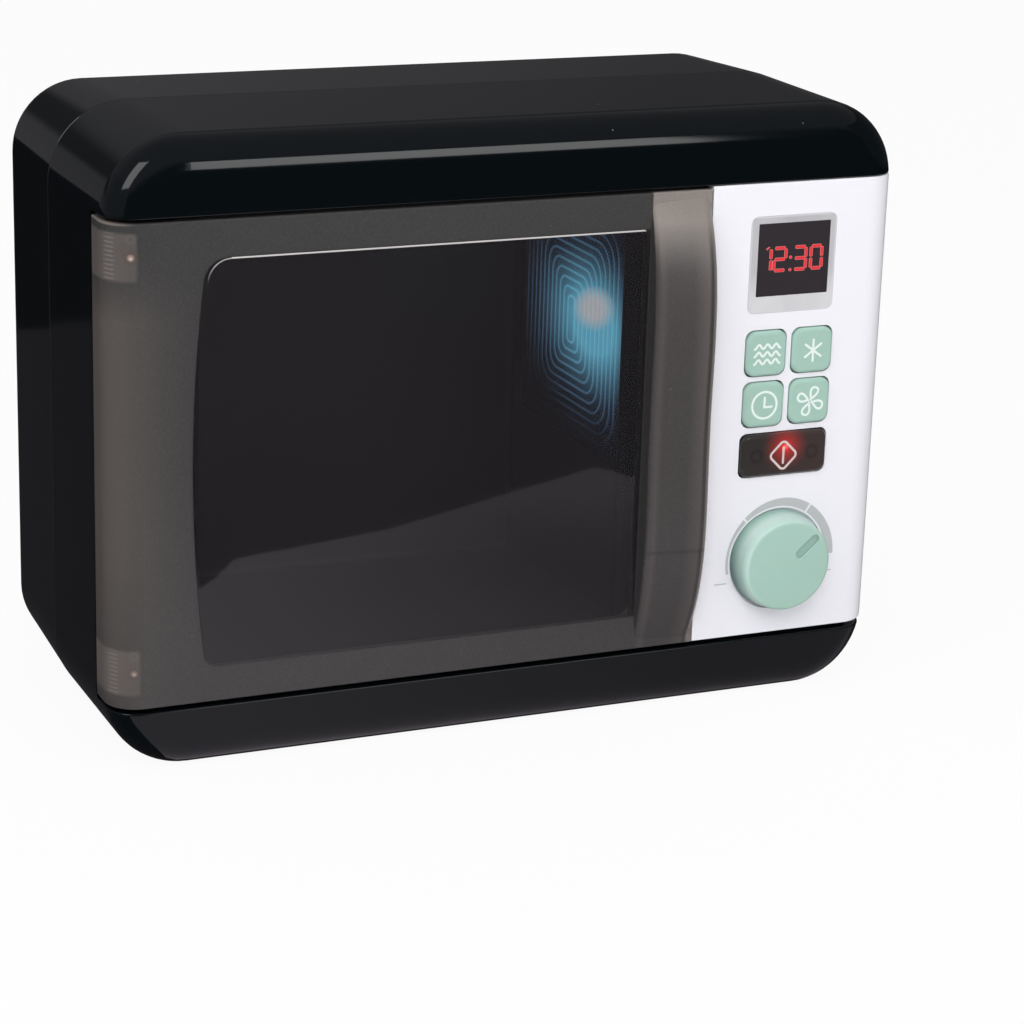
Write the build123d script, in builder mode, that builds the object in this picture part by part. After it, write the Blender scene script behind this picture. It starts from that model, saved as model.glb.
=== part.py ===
from build123d import *
import os
from math import atan, cos, degrees, radians, sin, tan

# Toy microwave oven. Millimetres, +Z up, the front faces -Y, +X is the viewer's right.
# The origin is on the resting face, below the middle of the case.

# ---------------------------------------------------------------- driving dimensions

# case
WIDTH = 312.0
HEIGHT = 234.0
DEPTH = 145.0
FRONT = -DEPTH / 2
BACK = DEPTH / 2
SEAM = 5.0                    # where the front and rear shells meet
CORNER_R = 30.0               # corners of the case seen from the front
FRONT_ROUND = 12.0            # rounding round the front edge
BACK_ROUND = 8.0
BACK_INSET = 3.0              # how much the rear shell narrows to the back
FOOT_AT, FOOT_R, FOOT_H = (108.0, 56.0), 6.0, 4.0           # feet that level the rear shell: x, y
WALL = 2.5
SEAM_CHAMFER = 0.4
RIM_ROUND = 0.6               # soft edges of the recess, the door and the fascia
LIP = 1.2                     # thickness of the rear shell's locating lip
LIP_REACH = 2.5
LIP_GAP = 0.1
BACK_INSIDE = BACK - WALL

# band that holds the door and the fascia: a recess right across the front
RECESS_LOW = 24.3
RECESS_HIGH = 206.2
RECESS_DEPTH = 6.0
FLANK_BACK = FRONT + 20.5     # rear end of the recess on both sides
TUB_FRONT = FRONT + RECESS_DEPTH
TUB_BACK = TUB_FRONT + WALL
OUTSIDE = WIDTH / 2 - FRONT_ROUND / 2.4
TOUCH = 0.01

# cavity
CAVITY_LEFT, CAVITY_RIGHT = -121.5, 45.5
CAVITY_FLOOR, CAVITY_CEILING = 34.0, 198.0
CAVITY_BACK = 38.0
CAVITY_R = 4.0
LINER = 2.0
CAVITY_W = CAVITY_RIGHT - CAVITY_LEFT
CAVITY_H = CAVITY_CEILING - CAVITY_FLOOR
CAVITY_MID = ((CAVITY_LEFT + CAVITY_RIGHT) / 2, (CAVITY_FLOOR + CAVITY_CEILING) / 2)

# door
SKIN = 2.4                    # thickness of the door and fascia mouldings
FLANGE = 5.4                  # depth of their edges
FLANGE_T = 1.8
DOOR_LOW, DOOR_HIGH = 26.0, 204.9
HANDLE_LEFT, HANDLE_RIGHT = 51.5, 76.0
DOOR_LEG_BACK = FLANK_BACK - 0.5
WINDOW_LOW, WINDOW_HIGH = 39.7, 191.3
WINDOW_LEFT_LOW, WINDOW_LEFT_MID, WINDOW_LEFT_HIGH = -121.0, -125.6, -120.5
WINDOW_RIGHT = 49.5
WINDOW_RAISE = 0.5
WINDOW_R_TOP, WINDOW_R_LOW, WINDOW_R_RIGHT = 9.0, 5.0, 1.5
WINDOW_BOW_Z = 124.6          # height of the widest place of its bowed left side
HANDLE_RISE_RIGHT, HANDLE_RISE_LEFT = 11.0, 6.5
HANDLE_ROOT = 1.6             # how far the handle's ends reach into the skin
HANDLE_SHOULDER = 24.0        # length over which the handle rises at each end
HANDLE_SHOULDER_RISE = 0.78   # share of the full rise reached there
HANDLE_ROUND_LEFT, HANDLE_ROUND_RIGHT = 1.6, 3.4
HANDLE_RIB_Z, HANDLE_RIB_T = 67.0, 1.6
HANDLE_RIB_REACH = 4.0        # how far the rib goes into the hollow of the handle

# hinge, on the axis of the door's rounded corner
HINGE_X = -WIDTH / 2 + FRONT_ROUND
HINGE_Y = FRONT + FRONT_ROUND
PIN_R = 1.5
RUNNING = 0.05                # radial play of a running fit
POCKET_R = 15.0               # room for the door's leg to swing in
KNUCKLE_H = 17.0
KNUCKLE_LOWS = (31.5, 184.5)
KNUCKLE_R = 5.0
KNUCKLE_REACH = 2.0           # how far its block goes past the axis, to the right
KNUCKLE_BACK = 3.5            # and behind the axis
KNUCKLE_SLOTS, KNUCKLE_SLOT_H = 8, 1.0
KNUCKLE_EDGE = 1.6            # solid part above and below the comb of slots
KNUCKLE_SPINE = 5.8           # where the slots end, left of the axis
PIN_BOSS_R, PIN_BOSS_H = 4.0, 8.6
PIN_GRIP = 7.2                # length of each pin held by the case
PIN_IN_DOOR = 12.5

# latch
TONGUE_X, TONGUE_Z = 66.0, 115.0
TONGUE_T, TONGUE_HEAD_T, TONGUE_H = 2.6, 3.4, 12.0
TONGUE_BACK = -57.0
TONGUE_ROOT = 8.0             # how far the tongue goes into the handle
TONGUE_HEAD_L = 3.0
TONGUE_ROOM_X, TONGUE_ROOM_Z = 5.0, 2.0     # slot round the tongue in the case
CATCH_W, CATCH_H, CATCH_T = 16.0, 35.0, 2.5
LEAF_NEAR, LEAF_FAR = 4.4, 5.4              # faces of each spring leaf, from the tongue's middle
JAW_START, JAW_FULL, JAW_EASE, JAW_END = 5.4, 4.6, 3.8, 1.4   # along the jaw, in front of the tongue's end
LATCH_GAP = 0.3

# fascia
FASCIA_LEFT = 76.6
FASCIA_LOW, FASCIA_HIGH = 26.2, 205.9
HATCH = (87.0, 138.0, 40.0, 198.0)          # opening behind the controls: left, right, low, high
FASCIA_BOSS_R = 3.0

# controls on the fascia
LABEL_W, LABEL_H, LABEL_R, LABEL_T, LABEL_GAP = 36.3, 37.4, 3.0, 0.35, 0.1
LABEL_AT = (111.35, 174.5)
BUTTON_W, BUTTON_H, BUTTON_R = 17.0, 17.6, 4.0
BUTTONS = {
    "button_waves": (101.9, 140.1),
    "button_cold": (121.7, 140.1),
    "button_clock": (101.9, 119.9),
    "button_fan": (121.7, 119.9),
}
START_W, START_H, START_R = 37.0, 17.0, 3.5
START_AT = (111.7, 99.6)
START_STEM_PITCH = 24.0
BUTTON_PROUD = 1.6
BUTTON_EDGE = 1.5
BUTTON_GAP = 0.4
BUTTON_HOLE_SHARPER = 0.5     # how much tighter the corners of a button's hole are
BUTTON_FLANGE, BUTTON_RIM = 1.0, 1.0        # flange behind the fascia: thickness and width
STEM_R = 2.5
KNOB_AT = (111.9, 56.7)
KNOB_BASE_R, KNOB_FACE_R, KNOB_H = 19.8, 18.2, 10.0
KNOB_ROUND = 1.8
KNOB_WALL = 2.2
KNOB_SINK, KNOB_CLEAR = 1.3, 0.3
KNOB_RIM_GAP = 0.8
POINTER_L, POINTER_W, POINTER_DEEP, POINTER_EDGE = 11.6, 3.4, 1.0, 0.4
POINTER_R, POINTER_DEG = 10.6, 41.0
SHAFT_R = 4.0

# inside the control side
BOARD_FRONT = -60.5
BOARD_T = 1.6
BOARD = (79.0, 146.0, 82.0, 196.0)
KEYPAD_T = 1.2
KEYPAD = (91.0, 133.0, 88.0, 151.0)
STEM_END = BOARD_FRONT - KEYPAD_T - 2.6
DOME_R, DOME_TOP_R = 4.6, 3.0
CHIP = (100.0, 114.0, 160.0, 174.0)
CHIP_T, CHIP_EDGE = 2.2, 0.5
START_LAMP_AT = (112.2, 102.4)
START_LAMP_R, START_LAMP_L, START_LAMP_HOLE_R = 1.5, 6.2, 2.5
LAMP_FLANGE, LAMP_FLANGE_T = 0.5, 1.0
WHEEL_TEETH = 16
WHEEL_R, WHEEL_ROOT_R, WHEEL_T = 11.0, 9.6, 4.0
TOOTH_ROOT, TOOTH_HALF = 0.6, 1.3
SHAFT_END = -61.5
CLICK_T = 3.0
CLICK_LEFT, CLICK_FOOT = 78.5, 8.0          # foot of the click spring: its left end and its top
CLICK_TIP, CLICK_TIP_HALF, CLICK_END = 2.6, 2.0, 5.0
CLICK_LEAF_T = 1.0

# light panel in the right wall of the cavity
PANEL_AT = (-17.0, 144.0)     # y, z
PANEL_W, PANEL_H, PANEL_T = 91.0, 93.0, 1.6
RING_FIRST = (3.6, 9.6)       # half width and half height of the innermost ridge
RING_STEP = (3.8, 3.3)
RING_COUNT, RING_R = 11, 2.8
RIDGE_W, RIDGE_H = 0.9, 0.4
LAMP_AT = (-37.0, 153.0)      # y, z
PANEL_R = 2.0
PANEL_LIP_W, PANEL_LIP_H, PANEL_LIP_T = 4.0, 6.0, 1.2       # flange that rests behind the liner
CAVITY_LAMP_R, CAVITY_LAMP_L = 2.5, 7.5
REFLECTOR_MOUTH_R, REFLECTOR_THROAT_R, REFLECTOR_T, REFLECTOR_L = 13.5, 7.0, 1.5, 10.0
LAMP_BOARD_W, LAMP_BOARD_H = 24.0, 20.0

# back
CASE_SCREWS = ((-136.0, 20.0), (-38.0, 16.4), (136.0, 20.0), (-136.0, 214.0), (-38.0, 219.0), (136.0, 214.0))
CASE_BOSS_R, TUNNEL_R, TUNNEL_HOLE_R = 4.0, 5.5, 3.6
CASE_SCREW_R, CASE_HEAD_R, CASE_HEAD_H = 1.5, 3.0, 2.2
SCREW_SEAT = SEAM + 4.0
CASE_SCREW_REACH = 18.0
SMALL_R, SMALL_HEAD_R, SMALL_HEAD_H, SMALL_REACH = 1.25, 2.4, 1.8, 6.9
CELL_R, CELL_L, CELL_PITCH = 5.25, 44.5, 11.4
CELL_COUNT = 3
NUB_R, NUB = 1.9, 1.0
CELL_SINK = 2.2               # the cells lie this far in front of the rear wall's inside
CONTACT_W, CONTACT_T = 8.8, 0.5
SPRING_TURNS, SPRING_R, SPRING_TAPER = 4, 3.6, 0.4
BAY_AT = (112.0, 58.0)
BAY_W, BAY_H, BAY_WALL = 37.8, 52.8, 1.6
BAY_FRONT = 53.8
COVER_W, COVER_T, COVER_LOW, COVER_HIGH = 43.0, 2.0, 27.0, 97.0
COVER_GAP = 0.25
COVER_R = 2.0
COVER_SCREW_Z = 91.0
COVER_HEAD_SINK = 1.2
COVER_TAB_X, COVER_TAB_W, COVER_TAB_H, COVER_TAB_T = 4.0, 8.0, 1.7, 0.9
COVER_TAB_GAP = 0.3
COVER_GRIPS, COVER_GRIP_PITCH, COVER_GRIP_L, COVER_GRIP_W, COVER_GRIP_DEEP = 5, 3.0, 22.0, 1.4, 0.6
CROSS_L, CROSS_W, CROSS_DEEP = 0.75, 0.25, 0.7              # cross recess: arm and width per head radius
SPEAKER_AT = (112.0, 150.0)
SPEAKER_R, EAR_R, EAR_L = 20.0, 23.6, 8.6
MAGNET_R, MAGNET_L, CONE_DEEP, CAP_R, CAP_DEEP = 9.5, 6.0, 5.0, 7.0, 3.5
SPEAKER_DEEP, SPEAKER_RIM = 14.0, 1.5
GRILLE_HOLE_R, GRILLE_PITCH, GRILLE_RINGS = 1.2, 4.6, 4
WIRE_R = 0.7
BEND_SHARE = 0.45             # share of the shorter run that a bend may take


# ---------------------------------------------------------------- helpers

def front_plane(y):
    """Sketch plane facing the viewer at depth y: its own x is X, its own y is Z."""
    return Plane.XZ.offset(-y)


def front_form(inset):
    """Front body of the case, shrunk by inset on every outer face."""
    with BuildPart() as form:
        with BuildSketch(front_plane(SEAM)):
            with Locations((0, HEIGHT / 2)):
                RectangleRounded(WIDTH - 2 * inset, HEIGHT - 2 * inset, CORNER_R - inset)
        extrude(amount=SEAM - FRONT - inset)
        fillet(form.faces().sort_by(Axis.Y)[0].edges(), FRONT_ROUND - inset)
    return form.part


def band(inset, left, right, low, high, back):
    """Slice of the front body, shrunk by inset, inside a box."""
    with BuildPart() as piece:
        add(front_form(inset))
        block((left, right), (FRONT - WALL, back), (low, high), mode=Mode.INTERSECT)
    return piece.part


def block(xs, ys, zs, mode=Mode.ADD):
    """Box between two places on each axis."""
    centre = [(a + b) / 2 for a, b in (xs, ys, zs)]
    with Locations(tuple(centre)):
        Box(xs[1] - xs[0], ys[1] - ys[0], zs[1] - zs[0], mode=mode)


def rod(at, radius, start, end, mode=Mode.ADD):
    """Round bar along Y at (x, z), from depth start to depth end."""
    with BuildSketch(front_plane(max(start, end))) as section:
        with Locations(at):
            Circle(radius)
    extrude(section.sketch, amount=abs(end - start), mode=mode)


def plate(at, width, height, radius, start, end, mode=Mode.ADD):
    """Rounded plate facing the viewer at (x, z), from depth start to depth end."""
    with BuildSketch(front_plane(max(start, end))) as section:
        with Locations(at):
            RectangleRounded(width, height, radius)
    extrude(section.sketch, amount=abs(end - start), mode=mode)


def post(radius, low, high, mode=Mode.ADD):
    """Upright round bar on the hinge axis."""
    with BuildSketch(Plane.XY.offset(low)) as section:
        with Locations((HINGE_X, HINGE_Y)):
            Circle(radius)
    extrude(section.sketch, amount=high - low, mode=mode)


def rims(part, *levels):
    """Edges along the outside of the front body at the given heights."""
    found = []
    for level in levels:
        for edge in part.edges().filter_by_position(Axis.Z, level - TOUCH, level + TOUCH):
            middle = edge.position_at(0.5)
            if middle.Y < FRONT + TOUCH or (abs(middle.X) > OUTSIDE and middle.Y < FLANK_BACK - 1):
                found.append(edge)
    return found


def save(name, part):
    part.label = name
    export_step(part, os.path.join("parts", name + ".step"))


os.makedirs("parts", exist_ok=True)

# ---------------------------------------------------------------- shared forms

full = front_form(0)
hollow = front_form(WALL)
tub_outer = band(0, -WIDTH, WIDTH, RECESS_LOW - WALL, RECESS_HIGH + WALL, FLANK_BACK + WALL)
tub_inner = front_form(RECESS_DEPTH + WALL)
recess_core = front_form(RECESS_DEPTH)
under_flange = front_form(FLANGE)

with BuildPart() as recess_builder:
    add(band(0, -WIDTH, WIDTH, RECESS_LOW, RECESS_HIGH, FLANK_BACK))
    add(recess_core, mode=Mode.SUBTRACT)
recess = recess_builder.part

with BuildPart() as tub_builder:
    add(tub_outer)
    add(tub_inner, mode=Mode.SUBTRACT)
tub = tub_builder.part

with BuildPart() as pocket_builder:
    post(POCKET_R + WALL, RECESS_LOW - WALL, RECESS_HIGH + WALL)
    add(full, mode=Mode.INTERSECT)
pocket_wall = pocket_builder.part


def tray(left, right, low, high, flange_left, flange_right):
    """Moulding let into the recess: skin, wrapped leg and edges turned back."""
    outer = band(0, left, right, low, high, DOOR_LEG_BACK)
    inside = (left + flange_left, right - flange_right, low + FLANGE_T, high - FLANGE_T)
    core = band(SKIN, inside[0], inside[1], inside[2], inside[3], DOOR_LEG_BACK)
    with BuildPart() as shell:
        add(outer)
        add(core, mode=Mode.SUBTRACT)
        add(under_flange, mode=Mode.SUBTRACT)
        fillet(rims(shell, low, high), RIM_ROUND)
    return shell.part


# ---------------------------------------------------------------- fixings: where the small screws go

# driven in from behind: (x, z) and the depth of the face under the head
LINER_EAR_BACK = -56.0
FASCIA_SCREWS = [(x, z, TUB_BACK) for x in (81.5, 141.5) for z in (33.0, 200.6)]
BOARD_SCREWS = [(x, z, BOARD_FRONT + BOARD_T) for x in (82.5, 142.0) for z in (88.0, 190.0)]
LINER_SCREWS = [(x, z, LINER_EAR_BACK) for x in (-100.0, 20.0) for z in (26.5, 205.0)]
CATCH_SCREWS = [(TONGUE_X, TONGUE_Z + dz, TUB_BACK + CATCH_T) for dz in (-13.5, 13.5)]
CLICK_SCREWS = [(82.5, 72.0, TUB_BACK + CLICK_T)]
SCREW_POST_R = 3.2
SPEAKER_SCREWS = [
    (SPEAKER_AT[0] + EAR_R * cos(radians(a)), SPEAKER_AT[1] + EAR_R * sin(radians(a))) for a in (90, 210, 330)
]
SPEAKER_EAR_T = 1.2
SPEAKER_FRONT = BACK_INSIDE - 3.0
SPEAKER_SCREW_REACH = 3.6
SPEAKER_HOLE_END = BACK_INSIDE - 0.4
COVER_SCREW = (BAY_AT[0], COVER_SCREW_Z)

# ---------------------------------------------------------------- front case shell

with BuildPart() as case_front:
    add(full)
    chamfer(case_front.faces().sort_by(Axis.Y)[-1].edges(), SEAM_CHAMFER)
    add(hollow, mode=Mode.SUBTRACT)
    add(tub)
    add(pocket_wall)
    for at in CASE_SCREWS:
        rod(at, CASE_BOSS_R, FRONT + WALL, SEAM - LIP_GAP)
    post(PIN_BOSS_R, RECESS_HIGH, RECESS_HIGH + PIN_BOSS_H)
    post(PIN_BOSS_R, RECESS_LOW - PIN_BOSS_H, RECESS_LOW)
    add(recess, mode=Mode.SUBTRACT)
    fillet(rims(case_front, RECESS_LOW, RECESS_HIGH), RIM_ROUND)
    post(POCKET_R, RECESS_LOW, RECESS_HIGH, mode=Mode.SUBTRACT)
    # mouth of the cavity, hatch behind the controls, slot for the latch tongue
    plate(CAVITY_MID, CAVITY_W, CAVITY_H, CAVITY_R, TUB_FRONT - WALL, TUB_BACK + WALL, mode=Mode.SUBTRACT)
    block(HATCH[:2], (TUB_FRONT - WALL, TUB_BACK + WALL), HATCH[2:], mode=Mode.SUBTRACT)
    block((TONGUE_X - TONGUE_ROOM_X, TONGUE_X + TONGUE_ROOM_X), (TUB_FRONT - WALL, TUB_BACK + WALL),
          (TONGUE_Z - TONGUE_H / 2 - TONGUE_ROOM_Z, TONGUE_Z + TONGUE_H / 2 + TONGUE_ROOM_Z),
          mode=Mode.SUBTRACT)
    # posts for the board and the liner, then every hole
    for x, z, seat in BOARD_SCREWS:
        rod((x, z), SCREW_POST_R, TUB_BACK, BOARD_FRONT)
    for x, z, seat in LINER_SCREWS:
        rod((x, z), SCREW_POST_R, TUB_BACK, LINER_EAR_BACK - LINER)
    for x, z, seat in BOARD_SCREWS + LINER_SCREWS:
        rod((x, z), SMALL_R, seat - SMALL_REACH, seat, mode=Mode.SUBTRACT)
    for x, z, seat in FASCIA_SCREWS:
        rod((x, z), SMALL_R, TUB_FRONT - WALL, TUB_BACK + WALL, mode=Mode.SUBTRACT)
    for x, z, seat in CATCH_SCREWS + CLICK_SCREWS:
        rod((x, z), SMALL_R, TUB_FRONT - WALL, TUB_BACK + WALL, mode=Mode.SUBTRACT)
    for at in CASE_SCREWS:
        rod(at, CASE_SCREW_R, SCREW_SEAT - CASE_SCREW_REACH, SEAM, mode=Mode.SUBTRACT)
    post(PIN_R, RECESS_HIGH, RECESS_HIGH + PIN_GRIP, mode=Mode.SUBTRACT)
    post(PIN_R, RECESS_LOW - PIN_GRIP, RECESS_LOW, mode=Mode.SUBTRACT)
save("case_front", case_front.part)

# ---------------------------------------------------------------- rear case shell

BACK_TAPER = degrees(atan(BACK_INSET / (BACK - SEAM)))


def rear_form(inset, back):
    """Rear body of the case, narrowing to the back, shrunk by inset."""
    with BuildPart() as form:
        with BuildSketch(front_plane(SEAM)):
            with Locations((0, HEIGHT / 2)):
                RectangleRounded(WIDTH - 2 * inset, HEIGHT - 2 * inset, CORNER_R - inset)
        extrude(amount=-(back - SEAM), taper=BACK_TAPER)
        fillet(form.faces().sort_by(Axis.Y)[-1].edges(), BACK_ROUND - inset)
    return form.part


def seam_ring(outer, inner, start, end):
    """Ring that follows the case's outline between two insets."""
    with BuildSketch(front_plane(max(start, end))) as section:
        with Locations((0, HEIGHT / 2)):
            RectangleRounded(WIDTH - 2 * outer, HEIGHT - 2 * outer, CORNER_R - outer)
            RectangleRounded(WIDTH - 2 * inner, HEIGHT - 2 * inner, CORNER_R - inner, mode=Mode.SUBTRACT)
    extrude(section.sketch, amount=abs(end - start))


rear_full = rear_form(0, BACK)
rear_hollow = rear_form(WALL, BACK_INSIDE)

with BuildPart() as case_rear:
    add(rear_full)
    chamfer(case_rear.faces().sort_by(Axis.Y)[0].edges(), SEAM_CHAMFER)
    for x in (-FOOT_AT[0], FOOT_AT[0]):
        with BuildSketch(Plane.XY) as foot:
            with Locations((x, FOOT_AT[1])):
                Circle(FOOT_R)
        extrude(foot.sketch, amount=FOOT_H)
    add(rear_hollow, mode=Mode.SUBTRACT)
    seam_ring(WALL + LIP_GAP, WALL + LIP_GAP + LIP, SEAM - LIP_REACH, SEAM)
    seam_ring(WALL - LIP_GAP, WALL + LIP_GAP + LIP, SEAM, SEAM + LIP_REACH)
    for at in CASE_SCREWS:
        rod(at, TUNNEL_R, SEAM, BACK_INSIDE + WALL / 2)
    rod(COVER_SCREW, CASE_BOSS_R, BAY_FRONT, BACK_INSIDE)
    for at in SPEAKER_SCREWS:
        rod(at, SCREW_POST_R, SPEAKER_FRONT, BACK_INSIDE)
    for at in CASE_SCREWS:
        rod(at, TUNNEL_HOLE_R, SCREW_SEAT, BACK + WALL, mode=Mode.SUBTRACT)
        rod(at, CASE_SCREW_R + RUNNING, SEAM - LIP_REACH, SCREW_SEAT, mode=Mode.SUBTRACT)
    # seat and hole for the battery cover
    cover_mid = (BAY_AT[0], (COVER_LOW + COVER_HIGH) / 2)
    plate(cover_mid, COVER_W + 2 * COVER_GAP, COVER_HIGH - COVER_LOW + 2 * COVER_GAP, COVER_R,
          BACK - COVER_T, BACK + WALL, mode=Mode.SUBTRACT)
    plate(BAY_AT, BAY_W, BAY_H, COVER_R / 2, BACK_INSIDE - WALL, BACK, mode=Mode.SUBTRACT)
    rod(COVER_SCREW, SMALL_R, BACK - SMALL_REACH - COVER_T, BACK, mode=Mode.SUBTRACT)
    # loudspeaker grille
    with BuildSketch(front_plane(BACK + WALL)) as grille:
        with Locations(SPEAKER_AT):
            for ring in range(GRILLE_RINGS):
                with PolarLocations(ring * GRILLE_PITCH, max(1, 6 * ring)):
                    Circle(GRILLE_HOLE_R)
    extrude(grille.sketch, amount=3 * WALL, mode=Mode.SUBTRACT)
    for at in SPEAKER_SCREWS:
        rod(at, SMALL_R, SPEAKER_FRONT, SPEAKER_HOLE_END, mode=Mode.SUBTRACT)
save("case_rear", case_rear.part)

# ---------------------------------------------------------------- cavity liner and light panel

with BuildPart() as cavity_liner:
    plate(CAVITY_MID, CAVITY_W + 2 * LINER, CAVITY_H + 2 * LINER, CAVITY_R + LINER,
          TUB_BACK, CAVITY_BACK + LINER)
    plate(CAVITY_MID, CAVITY_W, CAVITY_H, CAVITY_R, TUB_BACK - LINER, CAVITY_BACK, mode=Mode.SUBTRACT)
    fillet(cavity_liner.faces().filter_by(Axis.Y).sort_by(Axis.Y)[-2].edges(), CAVITY_R - 1)
    for x, z, seat in LINER_SCREWS:
        inner = CAVITY_FLOOR - LINER if z < CAVITY_MID[1] else CAVITY_CEILING + LINER
        outer = z - SCREW_POST_R if z < CAVITY_MID[1] else z + SCREW_POST_R
        block((x - SCREW_POST_R, x + SCREW_POST_R), (LINER_EAR_BACK - LINER, LINER_EAR_BACK),
              (min(inner, outer), max(inner, outer)))
        rod((x, z), SMALL_R, LINER_EAR_BACK - 2 * LINER, LINER_EAR_BACK + LINER, mode=Mode.SUBTRACT)
    with BuildSketch(Plane.YZ.offset(CAVITY_RIGHT - LINER)):
        with Locations(PANEL_AT):
            RectangleRounded(PANEL_W + 2 * COVER_GAP, PANEL_H + 2 * COVER_GAP, PANEL_R)
    extrude(amount=3 * LINER, mode=Mode.SUBTRACT)
save("cavity_liner", cavity_liner.part)

PANEL_FACE = CAVITY_RIGHT + RIDGE_H
with BuildPart() as light_panel:
    with BuildSketch(Plane.YZ.offset(PANEL_FACE)):
        with Locations(PANEL_AT):
            RectangleRounded(PANEL_W, PANEL_H, PANEL_R)
    extrude(amount=PANEL_T + PANEL_R / 2)
    with BuildSketch(Plane.YZ.offset(CAVITY_RIGHT + LINER)):
        with Locations((PANEL_AT[0] + PANEL_LIP_W / 4, PANEL_AT[1])):
            RectangleRounded(PANEL_W + PANEL_LIP_W, PANEL_H + PANEL_LIP_H, PANEL_R)
    extrude(amount=PANEL_LIP_T)
    with BuildSketch(Plane.YZ.offset(PANEL_FACE)):
        with Locations(PANEL_AT):
            for ring in range(RING_COUNT):
                half_w = RING_FIRST[0] + ring * RING_STEP[0]
                half_h = RING_FIRST[1] + ring * RING_STEP[1]
                radius = min(half_w - RIDGE_H / 2, RING_R + ring)
                RectangleRounded(2 * half_w, 2 * half_h, radius)
                RectangleRounded(2 * (half_w - RIDGE_W), 2 * (half_h - RIDGE_W), radius - RIDGE_W,
                                 mode=Mode.SUBTRACT)
    extrude(amount=-RIDGE_H)
save("light_panel", light_panel.part)

# ---------------------------------------------------------------- door

HANDLE_MID_Z = (DOOR_LOW + DOOR_HIGH) / 2


def handle_form(x_low, x_high, rise_low, rise_high, shrink):
    """Arched bar of the handle between two places on X, its face shrunk inwards."""
    low = DOOR_LOW + shrink
    high = DOOR_HIGH - shrink
    with BuildPart() as bar:
        for x, rise in ((x_low, rise_low), (x_high, rise_high)):
            crown = FRONT - rise + shrink
            shoulder = FRONT - HANDLE_SHOULDER_RISE * rise + shrink
            root = FRONT + HANDLE_ROOT
            with BuildSketch(Plane.YZ.offset(x)):
                with BuildLine():
                    arch = Spline(
                        (root, low),
                        (shoulder, low + HANDLE_SHOULDER),
                        (crown, HANDLE_MID_Z),
                        (shoulder, high - HANDLE_SHOULDER),
                        (root, high),
                    )
                    Line(arch @ 1, arch @ 0)
                make_face()
        loft(ruled=True)
    return bar.part


def hinge_knuckle(low):
    """Block round the hinge axis, with a comb of ribs between it and the door's leg."""
    with BuildPart() as knuckle:
        block((HINGE_X - FRONT_ROUND, HINGE_X + KNUCKLE_REACH), (FRONT, HINGE_Y + KNUCKLE_BACK),
              (low, low + KNUCKLE_H))
        for slot in range(KNUCKLE_SLOTS):
            level = low + KNUCKLE_EDGE + slot * (KNUCKLE_H - KNUCKLE_EDGE) / KNUCKLE_SLOTS
            block((HINGE_X - FRONT_ROUND, HINGE_X - KNUCKLE_SPINE),
                  (HINGE_Y - KNUCKLE_R, HINGE_Y + KNUCKLE_R), (level, level + KNUCKLE_SLOT_H), mode=Mode.SUBTRACT)
        post(KNUCKLE_R, low, low + KNUCKLE_H)
        add(knuckle_core, mode=Mode.INTERSECT)
    return knuckle.part


knuckle_core = front_form(SKIN / 2)
knuckles = [hinge_knuckle(low) for low in KNUCKLE_LOWS]

handle_outer = handle_form(HANDLE_LEFT, HANDLE_RIGHT, HANDLE_RISE_LEFT, HANDLE_RISE_RIGHT, 0)
handle_inner = handle_form(HANDLE_LEFT + SKIN, HANDLE_RIGHT - SKIN,
                           HANDLE_RISE_LEFT, HANDLE_RISE_RIGHT, SKIN)
with BuildPart() as handle_rounded:
    add(handle_outer)
    fillet(handle_rounded.edges().filter_by(GeomType.BSPLINE).sort_by(Axis.X)[-1], HANDLE_ROUND_RIGHT)
    fillet(handle_rounded.edges().filter_by(GeomType.BSPLINE).sort_by(Axis.X)[0], HANDLE_ROUND_LEFT)

door_tray = tray(-WIDTH, HANDLE_RIGHT, DOOR_LOW, DOOR_HIGH, 0, FLANGE_T)

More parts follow.
